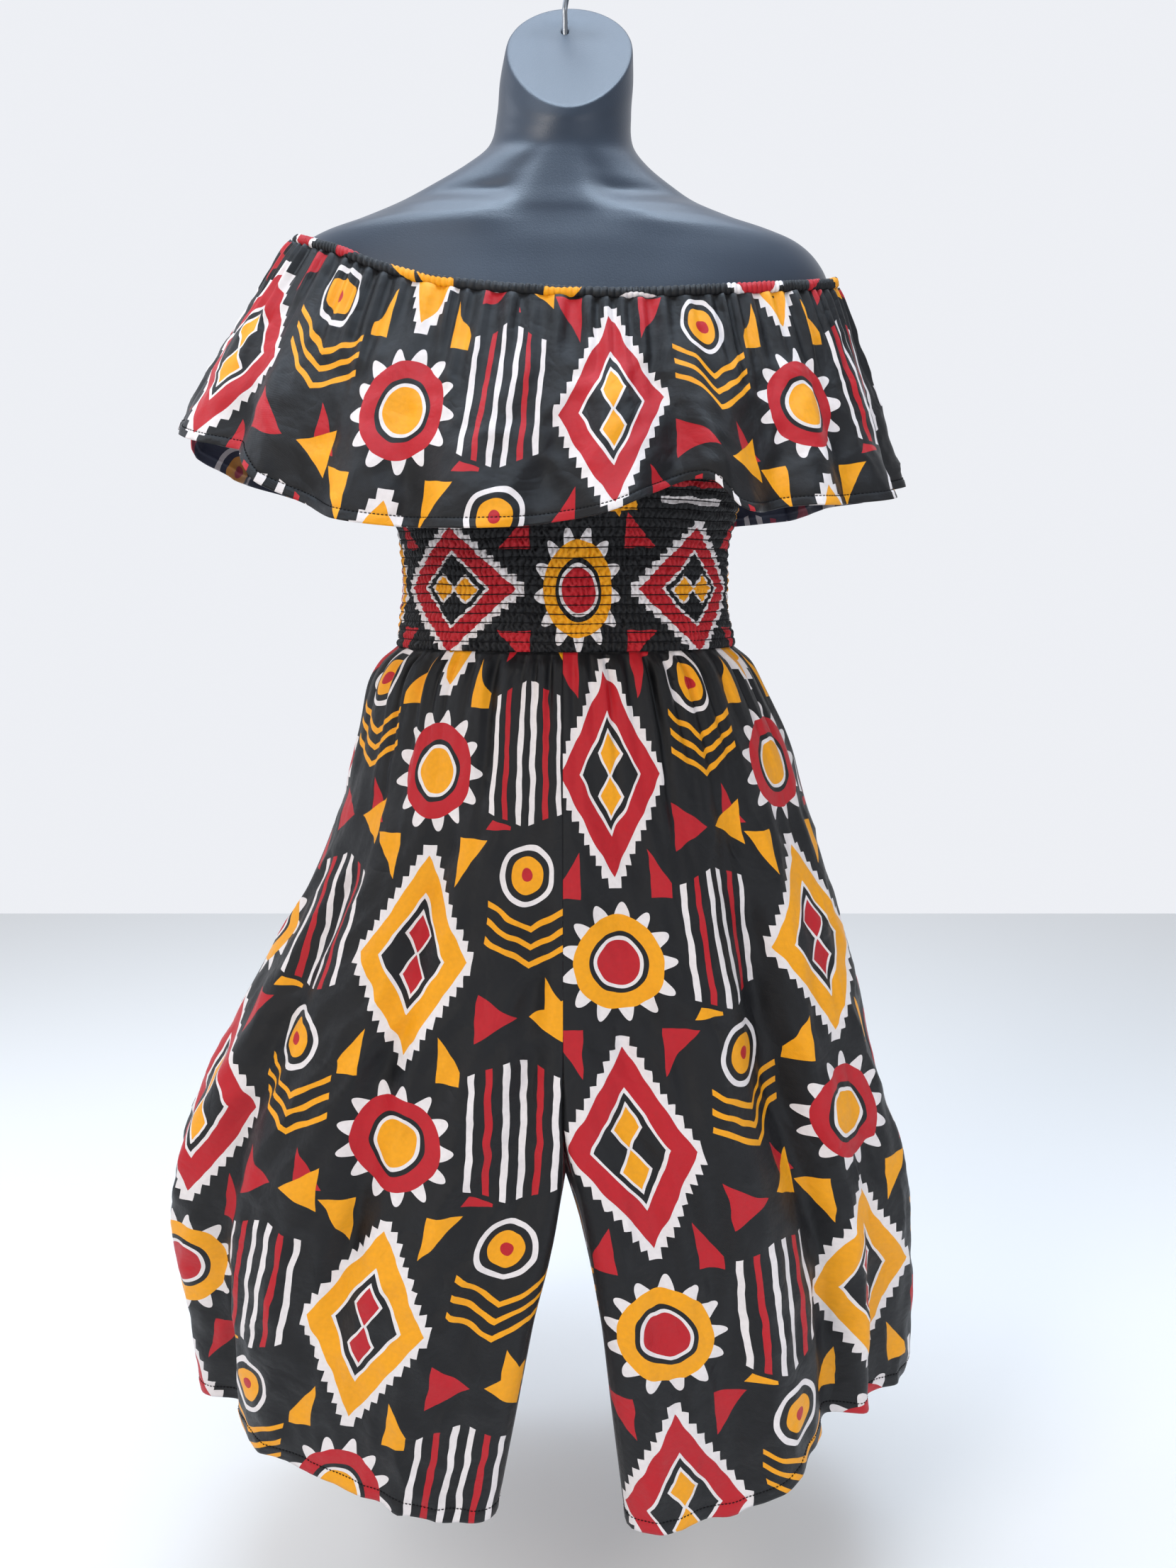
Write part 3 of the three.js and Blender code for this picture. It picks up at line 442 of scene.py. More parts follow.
def tubePoints(path, radius, sides, closed=False):
    # a round tube: at each point of the path, a circle across its direction, of that point's radius
    ahead = np.roll(path, -1, 0) - np.roll(path, 1, 0) if closed else np.gradient(path, axis=0)
    ahead = unit(ahead)
    lift = unit(np.cross(ahead, [0.13, 0.97, 0.21]))
    other = np.cross(ahead, lift)
    turn = np.linspace(0, 2 * np.pi, sides, endpoint=False)[None, :, None]
    size = np.broadcast_to(radius, len(path))[:, None, None]
    return path[:, None] + size * (np.cos(turn) * lift[:, None] + np.sin(turn) * other[:, None])


stitchLook = {
    "pitch": 3.0,
    "length": 2.3,
    "width": 0.6,
    "top": 0.6,           # the top's length over the stitch's
    "rise": (0.4, 0.88),  # how far the top's two ends stand out of the cloth
    "sunk": 0.1,
}


def addPart(name, points, faces, material, slot, *nodes, closedEnds=0):
    carry(addMesh(name, points, faces, [material], closedEnds=closedEnds), slot, *nodes)


def stitches(node, line, outward):
    # a row of machine stitches along a line on the cloth: for each a small block with a shorter top
    look = stitchLook
    arc = lengthOf(line)
    start = np.arange(look["pitch"] / 2, arc[-1] - look["pitch"], look["pitch"])
    at = np.stack([start, start + look["length"]])
    ends = np.stack([np.interp(at, arc, line[:, k]) for k in range(3)], -1)
    out = unit(np.stack([np.interp(start, arc, outward[:, k]) for k in range(3)], -1))
    side = np.cross(out, unit(ends[1] - ends[0])) * look["width"] / 2
    reach = look["top"] * (ends[1] - ends[0]) / 2
    middle = (ends[0] + ends[1]) / 2
    top = [middle - reach + look["rise"][0] * out, middle + reach + look["rise"][1] * out]
    foot = ends - look["sunk"] * out
    block = np.stack([
        edge + way * side for start, end in (foot, top) for edge, way in
        ((start, -1), (start, 1), (end, 1), (end, -1))
    ], 1)
    faces = np.array([[3, 2, 1, 0], [4, 5, 6, 7], [0, 1, 5, 4], [2, 3, 7, 6], [1, 2, 6, 5], [3, 0, 4, 7]])
    faces = faces[None] + 8 * np.arange(len(block))[:, None, None]
    addPart(node + "_stitches", block, faces.reshape(-1, 4), blackThread, "printed_cotton", node)


def outwardOf(grid, flip=False):
    # the direction out of each point of a grid, across its two directions
    out = unit(np.cross(np.gradient(grid, axis=0), np.gradient(grid, axis=1)))
    return -out if flip else out


# ---- the torso form

torsoRings = table(
    "drop half front back shift tilt",
    [96.6, 50, 50, 35, 5, 1.247],
    [122, 53, 51, 43, 2.5, 0.85],
    [146, 53.5, 51, 50, 0.5, 0.5],
    [170, 57.5, 51.5, 56, -2, 0.25],
    [187, 74, 53, 60, -6, 0.1],
    [203, 98, 55, 65, -10, 0.03],
    [218, 125, 58.5, 70, -13, 0],
    [231, 159, 65, 75, -13, 0],
    [239, 184, 71.5, 79, -12, 0],
    [247, 201, 77, 83, -10, 0],
    [260, 215, 83, 88, -9, 0],
    [277, 223, 90, 94, -8, 0],
    [302, 222, 101, 98, -7, 0],
    [332, 208, 113, 99, -6, 0],
    [366, 184, 121, 96, -4, 0],
    [402, 160, 121, 91, -2, 0],
    [440, 142, 110, 87, -1, 0],
    [488, 131, 94, 84, 0, 0],
    [530, 130, 89, 84, 0, 0],
    [572, 137, 90, 91, 0, 0],
    [622, 152, 96, 104, 0, 0],
    [680, 163, 101, 114, 0, 0],
    [730, 164, 101, 116, 0, 0],
    [768, 158, 96, 111, 0, 0],
)


def ovalPoint(ring, angle, grow=0.0):
    # a point on an oval whose front and back have their own depths
    turn = np.radians(angle)
    depth = np.where(np.cos(turn) > 0, ring["front"], ring["back"]) + grow
    x = ring.get("shift", 0) + (ring["half"] + grow) * np.sin(turn)
    return np.stack(np.broadcast_arrays(x, -depth * np.cos(turn), -ring["drop"]), axis=-1)


def ovalOutward(ring, angle):
    turn = np.radians(angle)
    depth = np.where(np.cos(turn) > 0, ring["front"], ring["back"])
    x, y = np.sin(turn) / ring["half"], -np.cos(turn) / depth
    return unit(np.stack(np.broadcast_arrays(x, y, 0.0), axis=-1))


def ringAt(rings, drop):
    return {"drop": drop} | {name: read(rings, "drop", name, drop) for name in rings if name != "drop"}


def torsoPoint(angle, drop):
    return ovalPoint(ringAt(torsoRings, drop), angle)


def torsoFrame(angle, drop):
    # the form's surface, with the directions out of it and down it
    around = torsoPoint(angle + 0.5, drop) - torsoPoint(angle - 0.5, drop)
    fall = torsoPoint(angle, drop + 1) - torsoPoint(angle, drop - 1)
    outward = unit(np.cross(fall, around))
    return torsoPoint(angle, drop), outward, unit(np.cross(around, outward))


torsoLook = {
    "columns": 160,
    "rows": 190,
    "rimRings": [(4.2, 0), (3.0, 0.015), (1.9, 0.06), (1.0, 0.16), (0.4, 0.32), (0.1, 0.6)],  # a round edge
    "middle": 4.0,        # the angle at which the neck's front meets the chest
    "flatFront": 14,      # how many degrees to each side of it the breastbone's table reaches
    "point": 0.16,        # how much narrower the neck's front is than an oval's, at its top
    "pointEnd": (110, 175),  # the drops over which that fades
    "dish": 3.5,          # the dip in the neck's cut top, round the wire
    "socket": 2.6,        # radius of the hole that the wire stands in
    "underside": 1.5,     # how far the form's foot is rounded down
}
# the two soft ridges under the neck, which climb outwards, and the dip above them; start and end are the
# degrees from the middle over which each comes and goes
collarbone = {
    "height": 4.4, "drop": 236, "climb": 0.2, "above": 7, "below": 17, "start": (10, 21), "end": (36, 74),
}
neckHollow = {"depth": 1.6, "drop": 219, "half": 7, "start": (12, 22), "end": (40, 70)}
# between the ridges the neck's front runs straight down into the chest: how far it stands out there
breastbone = table(
    "drop lift",
    [150, 0], [170, 0], [187, 1.5], [203, 4], [218, 5.5], [231, 4.2], [239, 0], [247, -2.5], [260, -3],
    [277, -3.5], [302, -4], [340, -3], [390, 0], [420, 0],
)
wireFoot = {"x": 1.0, "y": 17.0, "drop": 132.0}


def buildTorso():
    look, ridge, dip = torsoLook, collarbone, neckHollow
    columns, dish = look["columns"], look["dish"]
    angle = np.linspace(0, 360, columns, endpoint=False)
    turn = np.radians(angle)
    rowTable = {"row": np.arange(len(torsoRings["drop"])), "drop": torsoRings["drop"]}
    drop = read(rowTable, "row", "drop", np.linspace(0, len(torsoRings["drop"]) - 1, look["rows"]))[:, None]
    skin = torsoPoint(angle[None], drop)
    signed = (angle[None] - look["middle"] + 180) % 360 - 180
    off = np.abs(signed)

    # the skin moves out by ridge - dip + breastbone
    fromCrest = drop - ridge["drop"] + ridge["climb"] * off
    crest = np.exp(-(fromCrest / np.where(fromCrest < 0, ridge["above"], ridge["below"])) ** 2)
    hollow = np.exp(-((drop - dip["drop"]) / dip["half"]) ** 2)
    relief = ridge["height"] * crest * between(off, ridge["start"], ridge["end"])
    relief = relief - dip["depth"] * hollow * between(off, dip["start"], dip["end"])
    relief = relief + read(breastbone, "drop", "lift", drop) * np.exp(-(signed / look["flatFront"]) ** 4)
    skin = skin + relief[..., None] * np.stack([np.sin(turn), -np.cos(turn), 0 * turn], -1)
    forwards = np.clip(np.cos(turn), 0, 1) ** 2
    narrow = 1 - look["point"] * forwards * (1 - smoothStep(drop, *look["pointEnd"]))
    shift = read(torsoRings, "drop", "shift", drop)
    skin[..., 0] = shift + (skin[..., 0] - shift) * narrow
    skin[..., 2] += read(torsoRings, "drop", "tilt", drop) * skin[..., 1]
    neck, base = skin[0].copy(), skin[-1]

    def hole(radius, sink):
        # a ring round the wire's foot, on the neck's slanted top
        y = wireFoot["y"] - radius * np.cos(turn)
        z = torsoRings["tilt"][0] * y - torsoRings["drop"][0]
        return np.stack([wireFoot["x"] + radius * np.sin(turn), y, z - sink], -1)

    floorRing = hole(look["socket"], 0)
    floorRing[:, 2] = -wireFoot["drop"] - 0.4
    mouth = hole(look["socket"] + 1.2, 0)
    rings = [floorRing, hole(look["socket"], dish + 1.4), hole(look["socket"] + 0.35, dish + 0.3)]
    for share in (0, 0.04, 0.1, 0.18, 0.28, 0.4, 0.52, 0.62, 0.7):
        rings.append(mouth + (neck - mouth) * share - [0, 0, dish * math.exp(-(share / 0.3) ** 2)])
    middle = neck.mean(0)
    for inset, fall in look["rimRings"]:
        rings.append(middle + (neck - middle) * (1 - inset / 50) + (skin[2] - neck) * fall)
    middle = base.mean(0)
    foot = [middle + (base - middle) * share - [0, 0, look["underside"]] for share in (0.985, 0.6, 0.02)]
    grid = np.concatenate([rings, skin[2:], foot])
    faces = gridFaces(len(grid), columns, wrapColumns=True)
    addPart("torso_body", grid, faces, formPlastic, "form_plastic", "torso_form", closedEnds=columns)


buildTorso()
print("torso form made")

# ---- the hook: a round wire from its foot in the neck up and round the crook

hookLook = {"radius": 2.2, "bend": 24.2, "crookDrop": 22, "sides": 14, "steps": 220}
wireStem = [[1, 17, -132], [1, 17, -100], [1, 17, -72], [1, 17, -62], [4, 10.2, -53], [10, 3.4, -44.5]]


def buildHook():
    look = hookLook
    turn = np.radians([-38, -10, 20, 50, 80, 110, 140, 170, 200, 222])
    crook = np.stack([np.cos(turn), 0 * turn, np.sin(turn)], -1) * look["bend"] - [0, 0, look["crookDrop"]]
    places = np.concatenate([wireStem, crook])
    steps = lengthOf(places)
    rows = {"step": steps} | dict(zip("xyz", places.T))
    ends = np.array([0, 0.3, 1, 2.2])
    at = np.concatenate([ends, np.linspace(4, steps[-1] - 4, look["steps"]), steps[-1] - ends[::-1]])
    path = np.stack([read(rows, "step", name, at) for name in "xyz"], -1)
    fromEnd = np.clip(np.minimum(at, steps[-1] - at) / look["radius"], 0, 1)
    radius = look["radius"] * np.maximum(np.sqrt(1 - (1 - fromEnd) ** 2), 0.05)
    ring = tubePoints(path, radius, look["sides"])
    faces = gridFaces(len(ring), look["sides"], wrapColumns=True, flip=True)
    addPart("hook_body", ring, faces, hookSteel, "hook_wire", "hook")


buildHook()
print("hook made")

# ---- the neckline and the ruffle

neckline = table(
    "angle drop",
    [-90, 246], [-73, 251], [-58, 258.5], [-45, 269], [-35, 282.5], [-25, 294], [-13, 302], [1, 306.5],
    [15, 307], [30, 302], [44, 296], [57, 290], [70, 284], [90, 276], [115, 281], [145, 292], [180, 295],
    [215, 285], [245, 263], [270, 246],
)
casingLook = {
    "height": 8.4,
    "depth": 6.8,
    "gap": 1.3,          # between the channel and the form
    "puckers": 290,      # gathers of the elastic channel, all round
    "puckerDepth": 0.3,  # their height over the channel's half depth
    "corner": 0.75,      # the section's squareness: 1 is an oval, 0 a box
    "rings": 2600,
    "sides": 12,
    "flat": (1320.0, 28.0),  # the channel's cloth before it is gathered, laid open
    "patternDown": 40.0,
}


def casingFrame(angle):
    point, outward, down = torsoFrame(angle, read(neckline, "angle", "drop", angle))
    return point + (casingLook["gap"] + casingLook["depth"] / 2) * outward, outward, down


def buildCasing():
    # round the neckline, a soft-cornered oval section whose size swells and sinks with each gather
    look = casingLook
    angle = np.linspace(-90, 270, look["rings"])[None]
    turn = np.linspace(-np.pi, np.pi, look["sides"] + 1)[:, None]
    middle, outward, down = casingFrame(angle)
    share = (angle + 90) / 360
    wander = crumple(share * 60, turn * 0, 3.1, 11)
    phase = np.pi * look["puckers"] * share + 1.8 * wander + 0.3 * np.sin(turn)
    pucker = 2 * np.abs(np.sin(phase)) ** 0.7 - 1
    pucker = pucker * (0.75 + 0.35 * crumple(share * 200, turn, 2.7, 12))
    size = 1 + look["puckerDepth"] * pucker

    def softened(wave):
        return np.sign(wave) * np.abs(wave) ** look["corner"]

    out = look["depth"] / 2 * size * softened(np.cos(turn))
    fall = look["height"] / 2 * (1 + 0.5 * (size - 1)) * softened(np.sin(turn))
    points = middle + out[..., None] * outward + fall[..., None] * down
    flatWidth, flatHeight = look["flat"]
    v = (turn + np.pi) / (2 * np.pi) * flatHeight + look["patternDown"]
    addCloth(
        "casing_cloth", "neck_casing", points, share * flatWidth, v, thickness=0,
    )


ruffleHem = {"half": 296.0, "front": 168.0, "back": 166.0, "shift": -18.0}
ruffleHemline = table(
    "angle drop",
    [-90, 391], [-79, 392], [-70, 399], [-62, 407], [-55, 413], [-48, 421], [-43, 443], [-35, 459],
    [-29, 469], [-19, 475], [-5, 476], [4, 471], [10, 465], [17, 451], [25, 441], [29, 461], [34, 464],
    [40, 459], [50, 457], [62, 452], [76, 443], [90, 435], [112, 446], [138, 462], [160, 468], [186, 472],
    [208, 462], [226, 448], [242, 430], [250, 427], [258, 416], [266, 402], [270, 391],
)
ruffleFolds = table(
    "angle reach height",
    [-84, 6, 3], [-66, 7, 9], [-53, 5, -11], [-45, 5, 9], [-36, 5, -9], [-28, 5, 8], [-19, 4, -9],
    [-9, 6, 8], [2, 5, -8], [11, 5, 9], [21, 5, -16], [29, 5, 13], [38, 5, -11], [46, 5, 8], [55, 4, -10],
    [64, 6, 9], [76, 5, -10], [85, 5, 5], [98, 6, -10], [108, 6, 9], [120, 6, -12], [131, 6, 9],
    [142, 5, -10], [152, 6, 10], [163, 5, -9], [174, 7, 9], [187, 5, -12], [197, 6, 9], [209, 5, -10],
    [219, 6, 10], [230, 5, -9], [241, 6, 8], [252, 5, -8], [262, 5, 5],
)
ruffleLook = {
    "columns": 300,
    "rows": 46,
    "gathers": 44,         # fine gathers under the channel, in each half
    "gatherHeight": 3.8,
    "gatherEnd": 0.55,     # the share of the ruffle's length over which they sink
    "tuckedIn": 2.4,       # how far each gather draws the print sideways
    "bulge": (4, 2),       # how far the middle stands out on the right, and on the left
    "rumple": 1.5,
    "hem": 8.0,            # from the edge up to the hem's stitching
    "flat": (850.0, 187.0),
    "pattern": (33.5, -100.0),
}


def gatherPhase(angle):
    # one turn for each fine gather, unevenly spaced
    share = (angle + 90) / 180
    return 2 * np.pi * ruffleLook["gathers"] * share + 2.2 * crumple(share * 40, 0 * share, 4.3, 21)


def rufflePoint(angle, station):
    # top + station (hem oval - top) + (bulge + folds + gathers + rumple) outwards; station is 0 to 1
    look = ruffleLook
    middle, outward, down = casingFrame(angle)
    top = middle + (casingLook["height"] / 2 + 0.3) * down + 1.7 * outward
    hem = ovalPoint(ruffleHem | {"drop": read(ruffleHemline, "angle", "drop", angle)}, angle)
    level = ovalOutward(ruffleHem, angle)
    rightBulge, leftBulge = look["bulge"]
    bulge = rightBulge + (leftBulge - rightBulge) * (1 + np.sin(np.radians(angle))) / 2
    folds = 0
    for centre, reach, height in zip(*ruffleFolds.values()):
        drift = 2.2 * math.sin(centre * 1.7) * (1 - station)
        folds = folds + height * hump((angle - centre - drift) / (1.55 * reach))
    share = (angle + 90) / 180
    uneven = crumple(share * 40, 0 * share, 2.1, 22)
    phase = gatherPhase(angle)
    gathers = 0.7 * np.sin(phase) + 0.5 * (2 * np.abs(np.cos(phase / 2)) ** 0.7 - 1)
    length = look["gatherEnd"] * (1 + 0.55 * crumple(share * 40, 0 * share, 1.7, 23))
    strength = smoothStep(station, -0.08, 0.06) * (1 - smoothStep(station / length, 0.15, 1))
    gather = look["gatherHeight"] * (0.8 + 0.45 * uneven) * gathers * strength
    around, fall = angle * 3.2 + 0 * station, station * 180
    rumple = crumple(around, fall / 2.2, 38, 24) + creased(around, fall / 1.6, 52, 25)
    lift = bulge * np.sin(np.pi * station) + folds * smoothStep(station, 0, 1.15) + gather
    lift = lift + look["rumple"] * rumple * smoothStep(station, 0.05, 0.4)
    lift = lift * (1 - smoothStep(np.abs((angle + 270) % 180 - 90), 88.6, 90))
    towards = unit(outward + (level - outward) * smoothStep(station, 0, 0.25)[..., None])
    return top + (hem - top) * station[..., None] + lift[..., None] * towards


def buildRuffle(name, firstAngle):
    look = ruffleLook
    flatWidth, flatLength = look["flat"]
    patternU, patternV = look["pattern"]
    stitch = 1 - look["hem"] / flatLength
    station = np.concatenate([
        np.linspace(0, stitch - 0.012, look["rows"]), [stitch - 0.004, stitch, stitch + 0.004],
        np.linspace(stitch + 0.012, 1, 5),
    ])[:, None]
    angle = np.linspace(firstAngle, firstAngle + 180, look["columns"])[None]
    points = rufflePoint(angle + 0 * station, station + 0 * angle)
    out = outwardOf(points)
    fromStitch = (station - stitch) * flatLength
    hemStep = 0.45 * smoothStep(fromStitch, 0, 1.2) - 0.5 * np.exp(-(fromStitch / 0.9) ** 2)
    points = points + out * hemStep[..., None]
    points[:, [0, -1], 1] = math.copysign(sideGap, firstAngle)
    arc = lengthOf(ovalPoint(ruffleHem | {"drop": 0.0}, angle[0]))
    drawn = look["tuckedIn"] * np.sin(gatherPhase(angle)) * (1 - smoothStep(station, 0.05, 0.6))
    u = (arc / arc[-1] - 0.5) * flatWidth + patternU + drawn
    v = station * flatLength + patternV
    addCloth(name + "_cloth", name, points, u, v)
    row = int(np.argmin(np.abs(station[:, 0] - stitch)))
    stitches(name, points[row, 2:-2], out[row, 2:-2])


buildCasing()
buildRuffle("ruffle_front", -90)
buildRuffle("ruffle_back", 90)
print("neckline and ruffle made")

# ---- the bodice under the ruffle

bodiceLook = {
    "columns": 110,
    "rows": 44,
    "offset": 4.8,        # its outside, from the form
    "folds": 1.6,
    "gathers": 1.2,
    "strapAngle": 62.0,   # how far round it reaches at the neckline, before the armhole
    "armhole": (275.0, 388.0),
    "foot": 429.7,
    "flat": (3.4, 1.05),  # mm of flat cloth to a degree across and to a mm down
}


def buildBodice(name, middleAngle):
    # it follows the form at a distance, and widens from the straps to the side seams under the armholes
    look = bodiceLook
    across = np.linspace(-1, 1, look["columns"])[None]
    station = np.linspace(0, 1, look["rows"])[:, None]
    topAngle = middleAngle + across * look["strapAngle"]
    topDrop = read(neckline, "angle", "drop", topAngle) + casingLook["height"] / 2 + 0.6
    drop = topDrop + (look["foot"] - topDrop) * station
    spread = look["strapAngle"] + (90 - look["strapAngle"]) * smoothStep(drop, *look["armhole"])
    angle = middleAngle + across * spread
    point, outward, _ = torsoFrame(angle, drop)
    fromEdge = 1 - np.abs(across)
    folds = look["folds"] * crumple(angle * 3, drop / 3, 28, 31 + middleAngle)
    gathers = look["gathers"] * np.sin(angle * 1.9) * np.exp(-station * 9)
    relief = folds * smoothStep(fromEdge, 0, 0.12) + gathers * smoothStep(fromEdge, 0, 0.1)
    points = point + (look["offset"] + relief)[..., None] * outward
    front = -1 if middleAngle == 0 else 1
    points[..., 1] = front * np.maximum(front * points[..., 1], 0.1)
    points[..., 2] = -drop
    perDegree, perDrop = look["flat"]
    addCloth(
        name + "_cloth", name, points, across * spread * perDegree, drop * perDrop,
    )


buildBodice("bodice_front", 0)
buildBodice("bodice_back", 180)
print("bodice made")

# ---- the smocked band

smockRings = table(
    "drop half front back",
    [430, 153, 119, 95],
    [455, 145, 110, 93],
    [479, 139, 102, 91],
    [502, 137, 98, 90],
    [526, 137.5, 97, 91],
    [550, 141, 98, 94],
    [568, 144, 101, 97],
)
smockLook = {
    "top": 430.0,
    "waist": 568.0,
    "elasticRows": 19,
    "columns": 620,
    "rowsPerElastic": 5,
    "puckers": 84,            # fine gathers in each half
    "puckerHeight": 2.1,
    "sag": 0.9,               # how far an elastic row wanders up and down
    "relief": 0.95,           # how far the cloth swells between two elastic rows
    "sunk": 0.8,              # how far the rows lie inside the band's oval
    "round": 376,             # mm round each half
    "flat": (610.0, 140.0),   # of each half
    "pattern": (-172.0, 6.0),
    "threadRadius": 0.42,
    "threadSides": 4,
    "threadSteps": 560,
}
rowSpacing = (smockLook["waist"] - smockLook["top"]) / smockLook["elasticRows"]


def alongSmock(angle):
    return (angle + 90) / 180 * smockLook["round"]


def rowSag(angle, drop):
    look = smockLook
    held = np.sin(np.pi * np.clip((drop - look["top"]) / (look["waist"] - look["top"]), 0, 1))
    return look["sag"] * held * crumple(alongSmock(angle), drop * 0.7, 85, 45)


def smockLift(angle, drop):
    # the cloth's height over the band's plain surface: it swells between elastic rows, and fine gathers
    # stand across them, a little out of step from row to row
    look = smockLook
    swell = np.abs(np.sin(np.pi * (drop - rowSag(angle, drop) - look["top"]) / rowSpacing)) ** 0.8
    along = alongSmock(angle)
    phase = 2 * np.pi * look["puckers"] * (angle + 90) / 180
    phase = phase + 2.4 * crumple(along, drop * 2.2, 24, 41) + 1.2 * crumple(along, drop * 3, 9, 42)
    pucker = 2 * np.abs(np.sin(phase / 2)) ** 0.6 - 1.3
    uneven = 0.85 + 0.35 * crumple(along, drop * 2, 13, 43)
    height = look["puckerHeight"] * (0.6 + 0.4 * swell) * uneven
    soft = 0.8 * crumple(along, drop, 60, 44)
    return -look["sunk"] + look["relief"] * swell + height * pucker + soft


def buildSmock(name, firstAngle):
    # the cloth is cut with its print turned a quarter round, so it takes v across and u down
    look = smockLook
    rows = look["elasticRows"] * look["rowsPerElastic"] + 1
    level = np.linspace(look["top"], look["waist"], rows)[:, None]
    angle = np.linspace(firstAngle, firstAngle + 180, look["columns"])[None]
    drop = level + rowSag(angle, level)
    ring = ringAt(smockRings, drop)
    points = ovalPoint(ring, angle) + smockLift(angle, drop)[..., None] * ovalOutward(ring, angle)
    points[:, [0, -1], 1] = math.copysign(sideGap, firstAngle)
    flatWidth, flatLength = look["flat"]
    patternAcross, patternDown = look["pattern"]
    v = (angle - firstAngle) / 180 * flatWidth + patternAcross
    u = (level - look["top"]) / (look["waist"] - look["top"]) * flatLength + patternDown
    addCloth(
        name + "_cloth", name, points, u, v, thickness=0, slot="smocked_cotton",
    )


def buildElastic():
    # each thread lies in the valley that it draws, and rises and falls a little with the gathers
    look = smockLook
    angle = np.linspace(-90, 270, look["threadSteps"], endpoint=False)
    sides = look["threadSides"]
    rings = []
    for k in range(look["elasticRows"]):
        level = look["top"] + rowSpacing * k
        drop = level + rowSag(angle, level) + 0.2 * crumple(angle / 6, 0 * angle, 9, 50 + k)
        ring = ringAt(smockRings, drop)
        lift = 0.45 * (smockLift(angle, drop) + look["sunk"]) - 0.08
        path = ovalPoint(ring, angle) + lift[:, None] * ovalOutward(ring, angle)
        rings.append(tubePoints(path, look["threadRadius"], sides, closed=True))
    one = gridFaces(len(angle), sides, wrapRows=True, wrapColumns=True, flip=True)
    faces = one[None] + sides * len(angle) * np.arange(len(rings))[:, None, None]
    addPart(
        "smock_elastic", np.array(rings), faces.reshape(-1, 4), blackThread, "smocked_cotton",
        "smock_front", "smock_back",
    )


buildSmock("smock_front", -90)
buildSmock("smock_back", 90)
buildElastic()
print("smocked band made")

# ---- the trousers

trouserRings = table(
    "drop rightSide leftSide front back",
    [568.3, 143.4, 143.4, 100.4, 96.4],
    [580, 156, 156, 109, 106],
    [600, 168, 168, 114, 113],
    [645, 179, 191, 121, 124],
    [700, 195, 209, 128, 132],
    [780, 229, 235, 138, 141],
    [860, 277, 259, 148, 150],
    [936, 318, 277, 159, 159],
    [1005, 346, 296, 168, 167],
    [1090, 356, 311, 177, 175],
    [1180, 347, 312, 184, 182],
    [1262, 338, 311, 189, 187],
)
# where the legs part: how far from the middle the fronts and backs turn inwards, with the left front apart
# from the other three, and how far from it the inner seam is
trouserSplits = table(
    "drop corner leftFrontCorner inseam",
    [780, 0, 0, 0], [860, 0, 0, 0], [936, 0, 0, 2], [1005, 4, 18, 15], [1090, 21, 29, 33],
    [1180, 37, 38, 53], [1262, 52, 47, 70],
)
# how much higher than the middle each leg's hem hangs, from the outer seam, 0, to the inner fold, 1
hemRises = table(
    "across right left",
    [0, 34, 36], [0.15, 34, 37], [0.3, 31, 38], [0.45, 28, 37], [0.57, 22, 34], [0.66, 16, 18],
    [0.74, 13, 2], [0.81, 9, -3], [0.88, 2, -6], [1, 0, -9],
)
# Long folds of each panel: across is the place from the outer seam, 0, to the inner fold, 1, drift how far
# it moves by the hem, reach the half width in mm, top and foot the drops between which the fold shows
foldNames = "across drift reach height top foot"
panelFolds = {
    "right_front": table(
        foldNames,
        [0.16, 0.02, 24, 9, 800, 1262],
        [0.3, -0.02, 20, -14, 640, 1262],
        [0.46, 0.0, 28, 8, 760, 1262],
        [0.62, -0.03, 18, -13, 600, 1180],
        [0.8, 0.0, 24, 8, 820, 1262],
        [0.93, 0.0, 16, -8, 600, 1120],
    ),
    "left_front": table(
        foldNames,
        [0.14, 0.0, 22, 9, 760, 1262],
        [0.28, 0.0, 20, -13, 900, 1262],
        [0.5, -0.06, 24, -26, 640, 1262],
        [0.66, -0.02, 28, 14, 700, 1262],
        [0.84, 0.0, 20, -8, 600, 1080],
        [0.93, 0.0, 16, 6, 900, 1262],
    ),
    "right_back": table(
        foldNames,
        [0.18, 0.02, 24, -12, 740, 1262],
        [0.36, 0.0, 28, 11, 800, 1262],
        [0.54, -0.03, 24, -16, 680, 1262],
        [0.72, 0.0, 26, 10, 860, 1262],
        [0.89, 0.0, 18, -9, 640, 1200],
    ),
    "left_back": table(
        foldNames,
        [0.15, 0.0, 22, 9, 780, 1262],
        [0.31, 0.02, 24, -15, 700, 1262],
        [0.5, 0.0, 28, 11, 840, 1262],
        [0.69, -0.02, 22, -15, 660, 1262],
        [0.87, 0.0, 22, 8, 880, 1262],
    ),
}
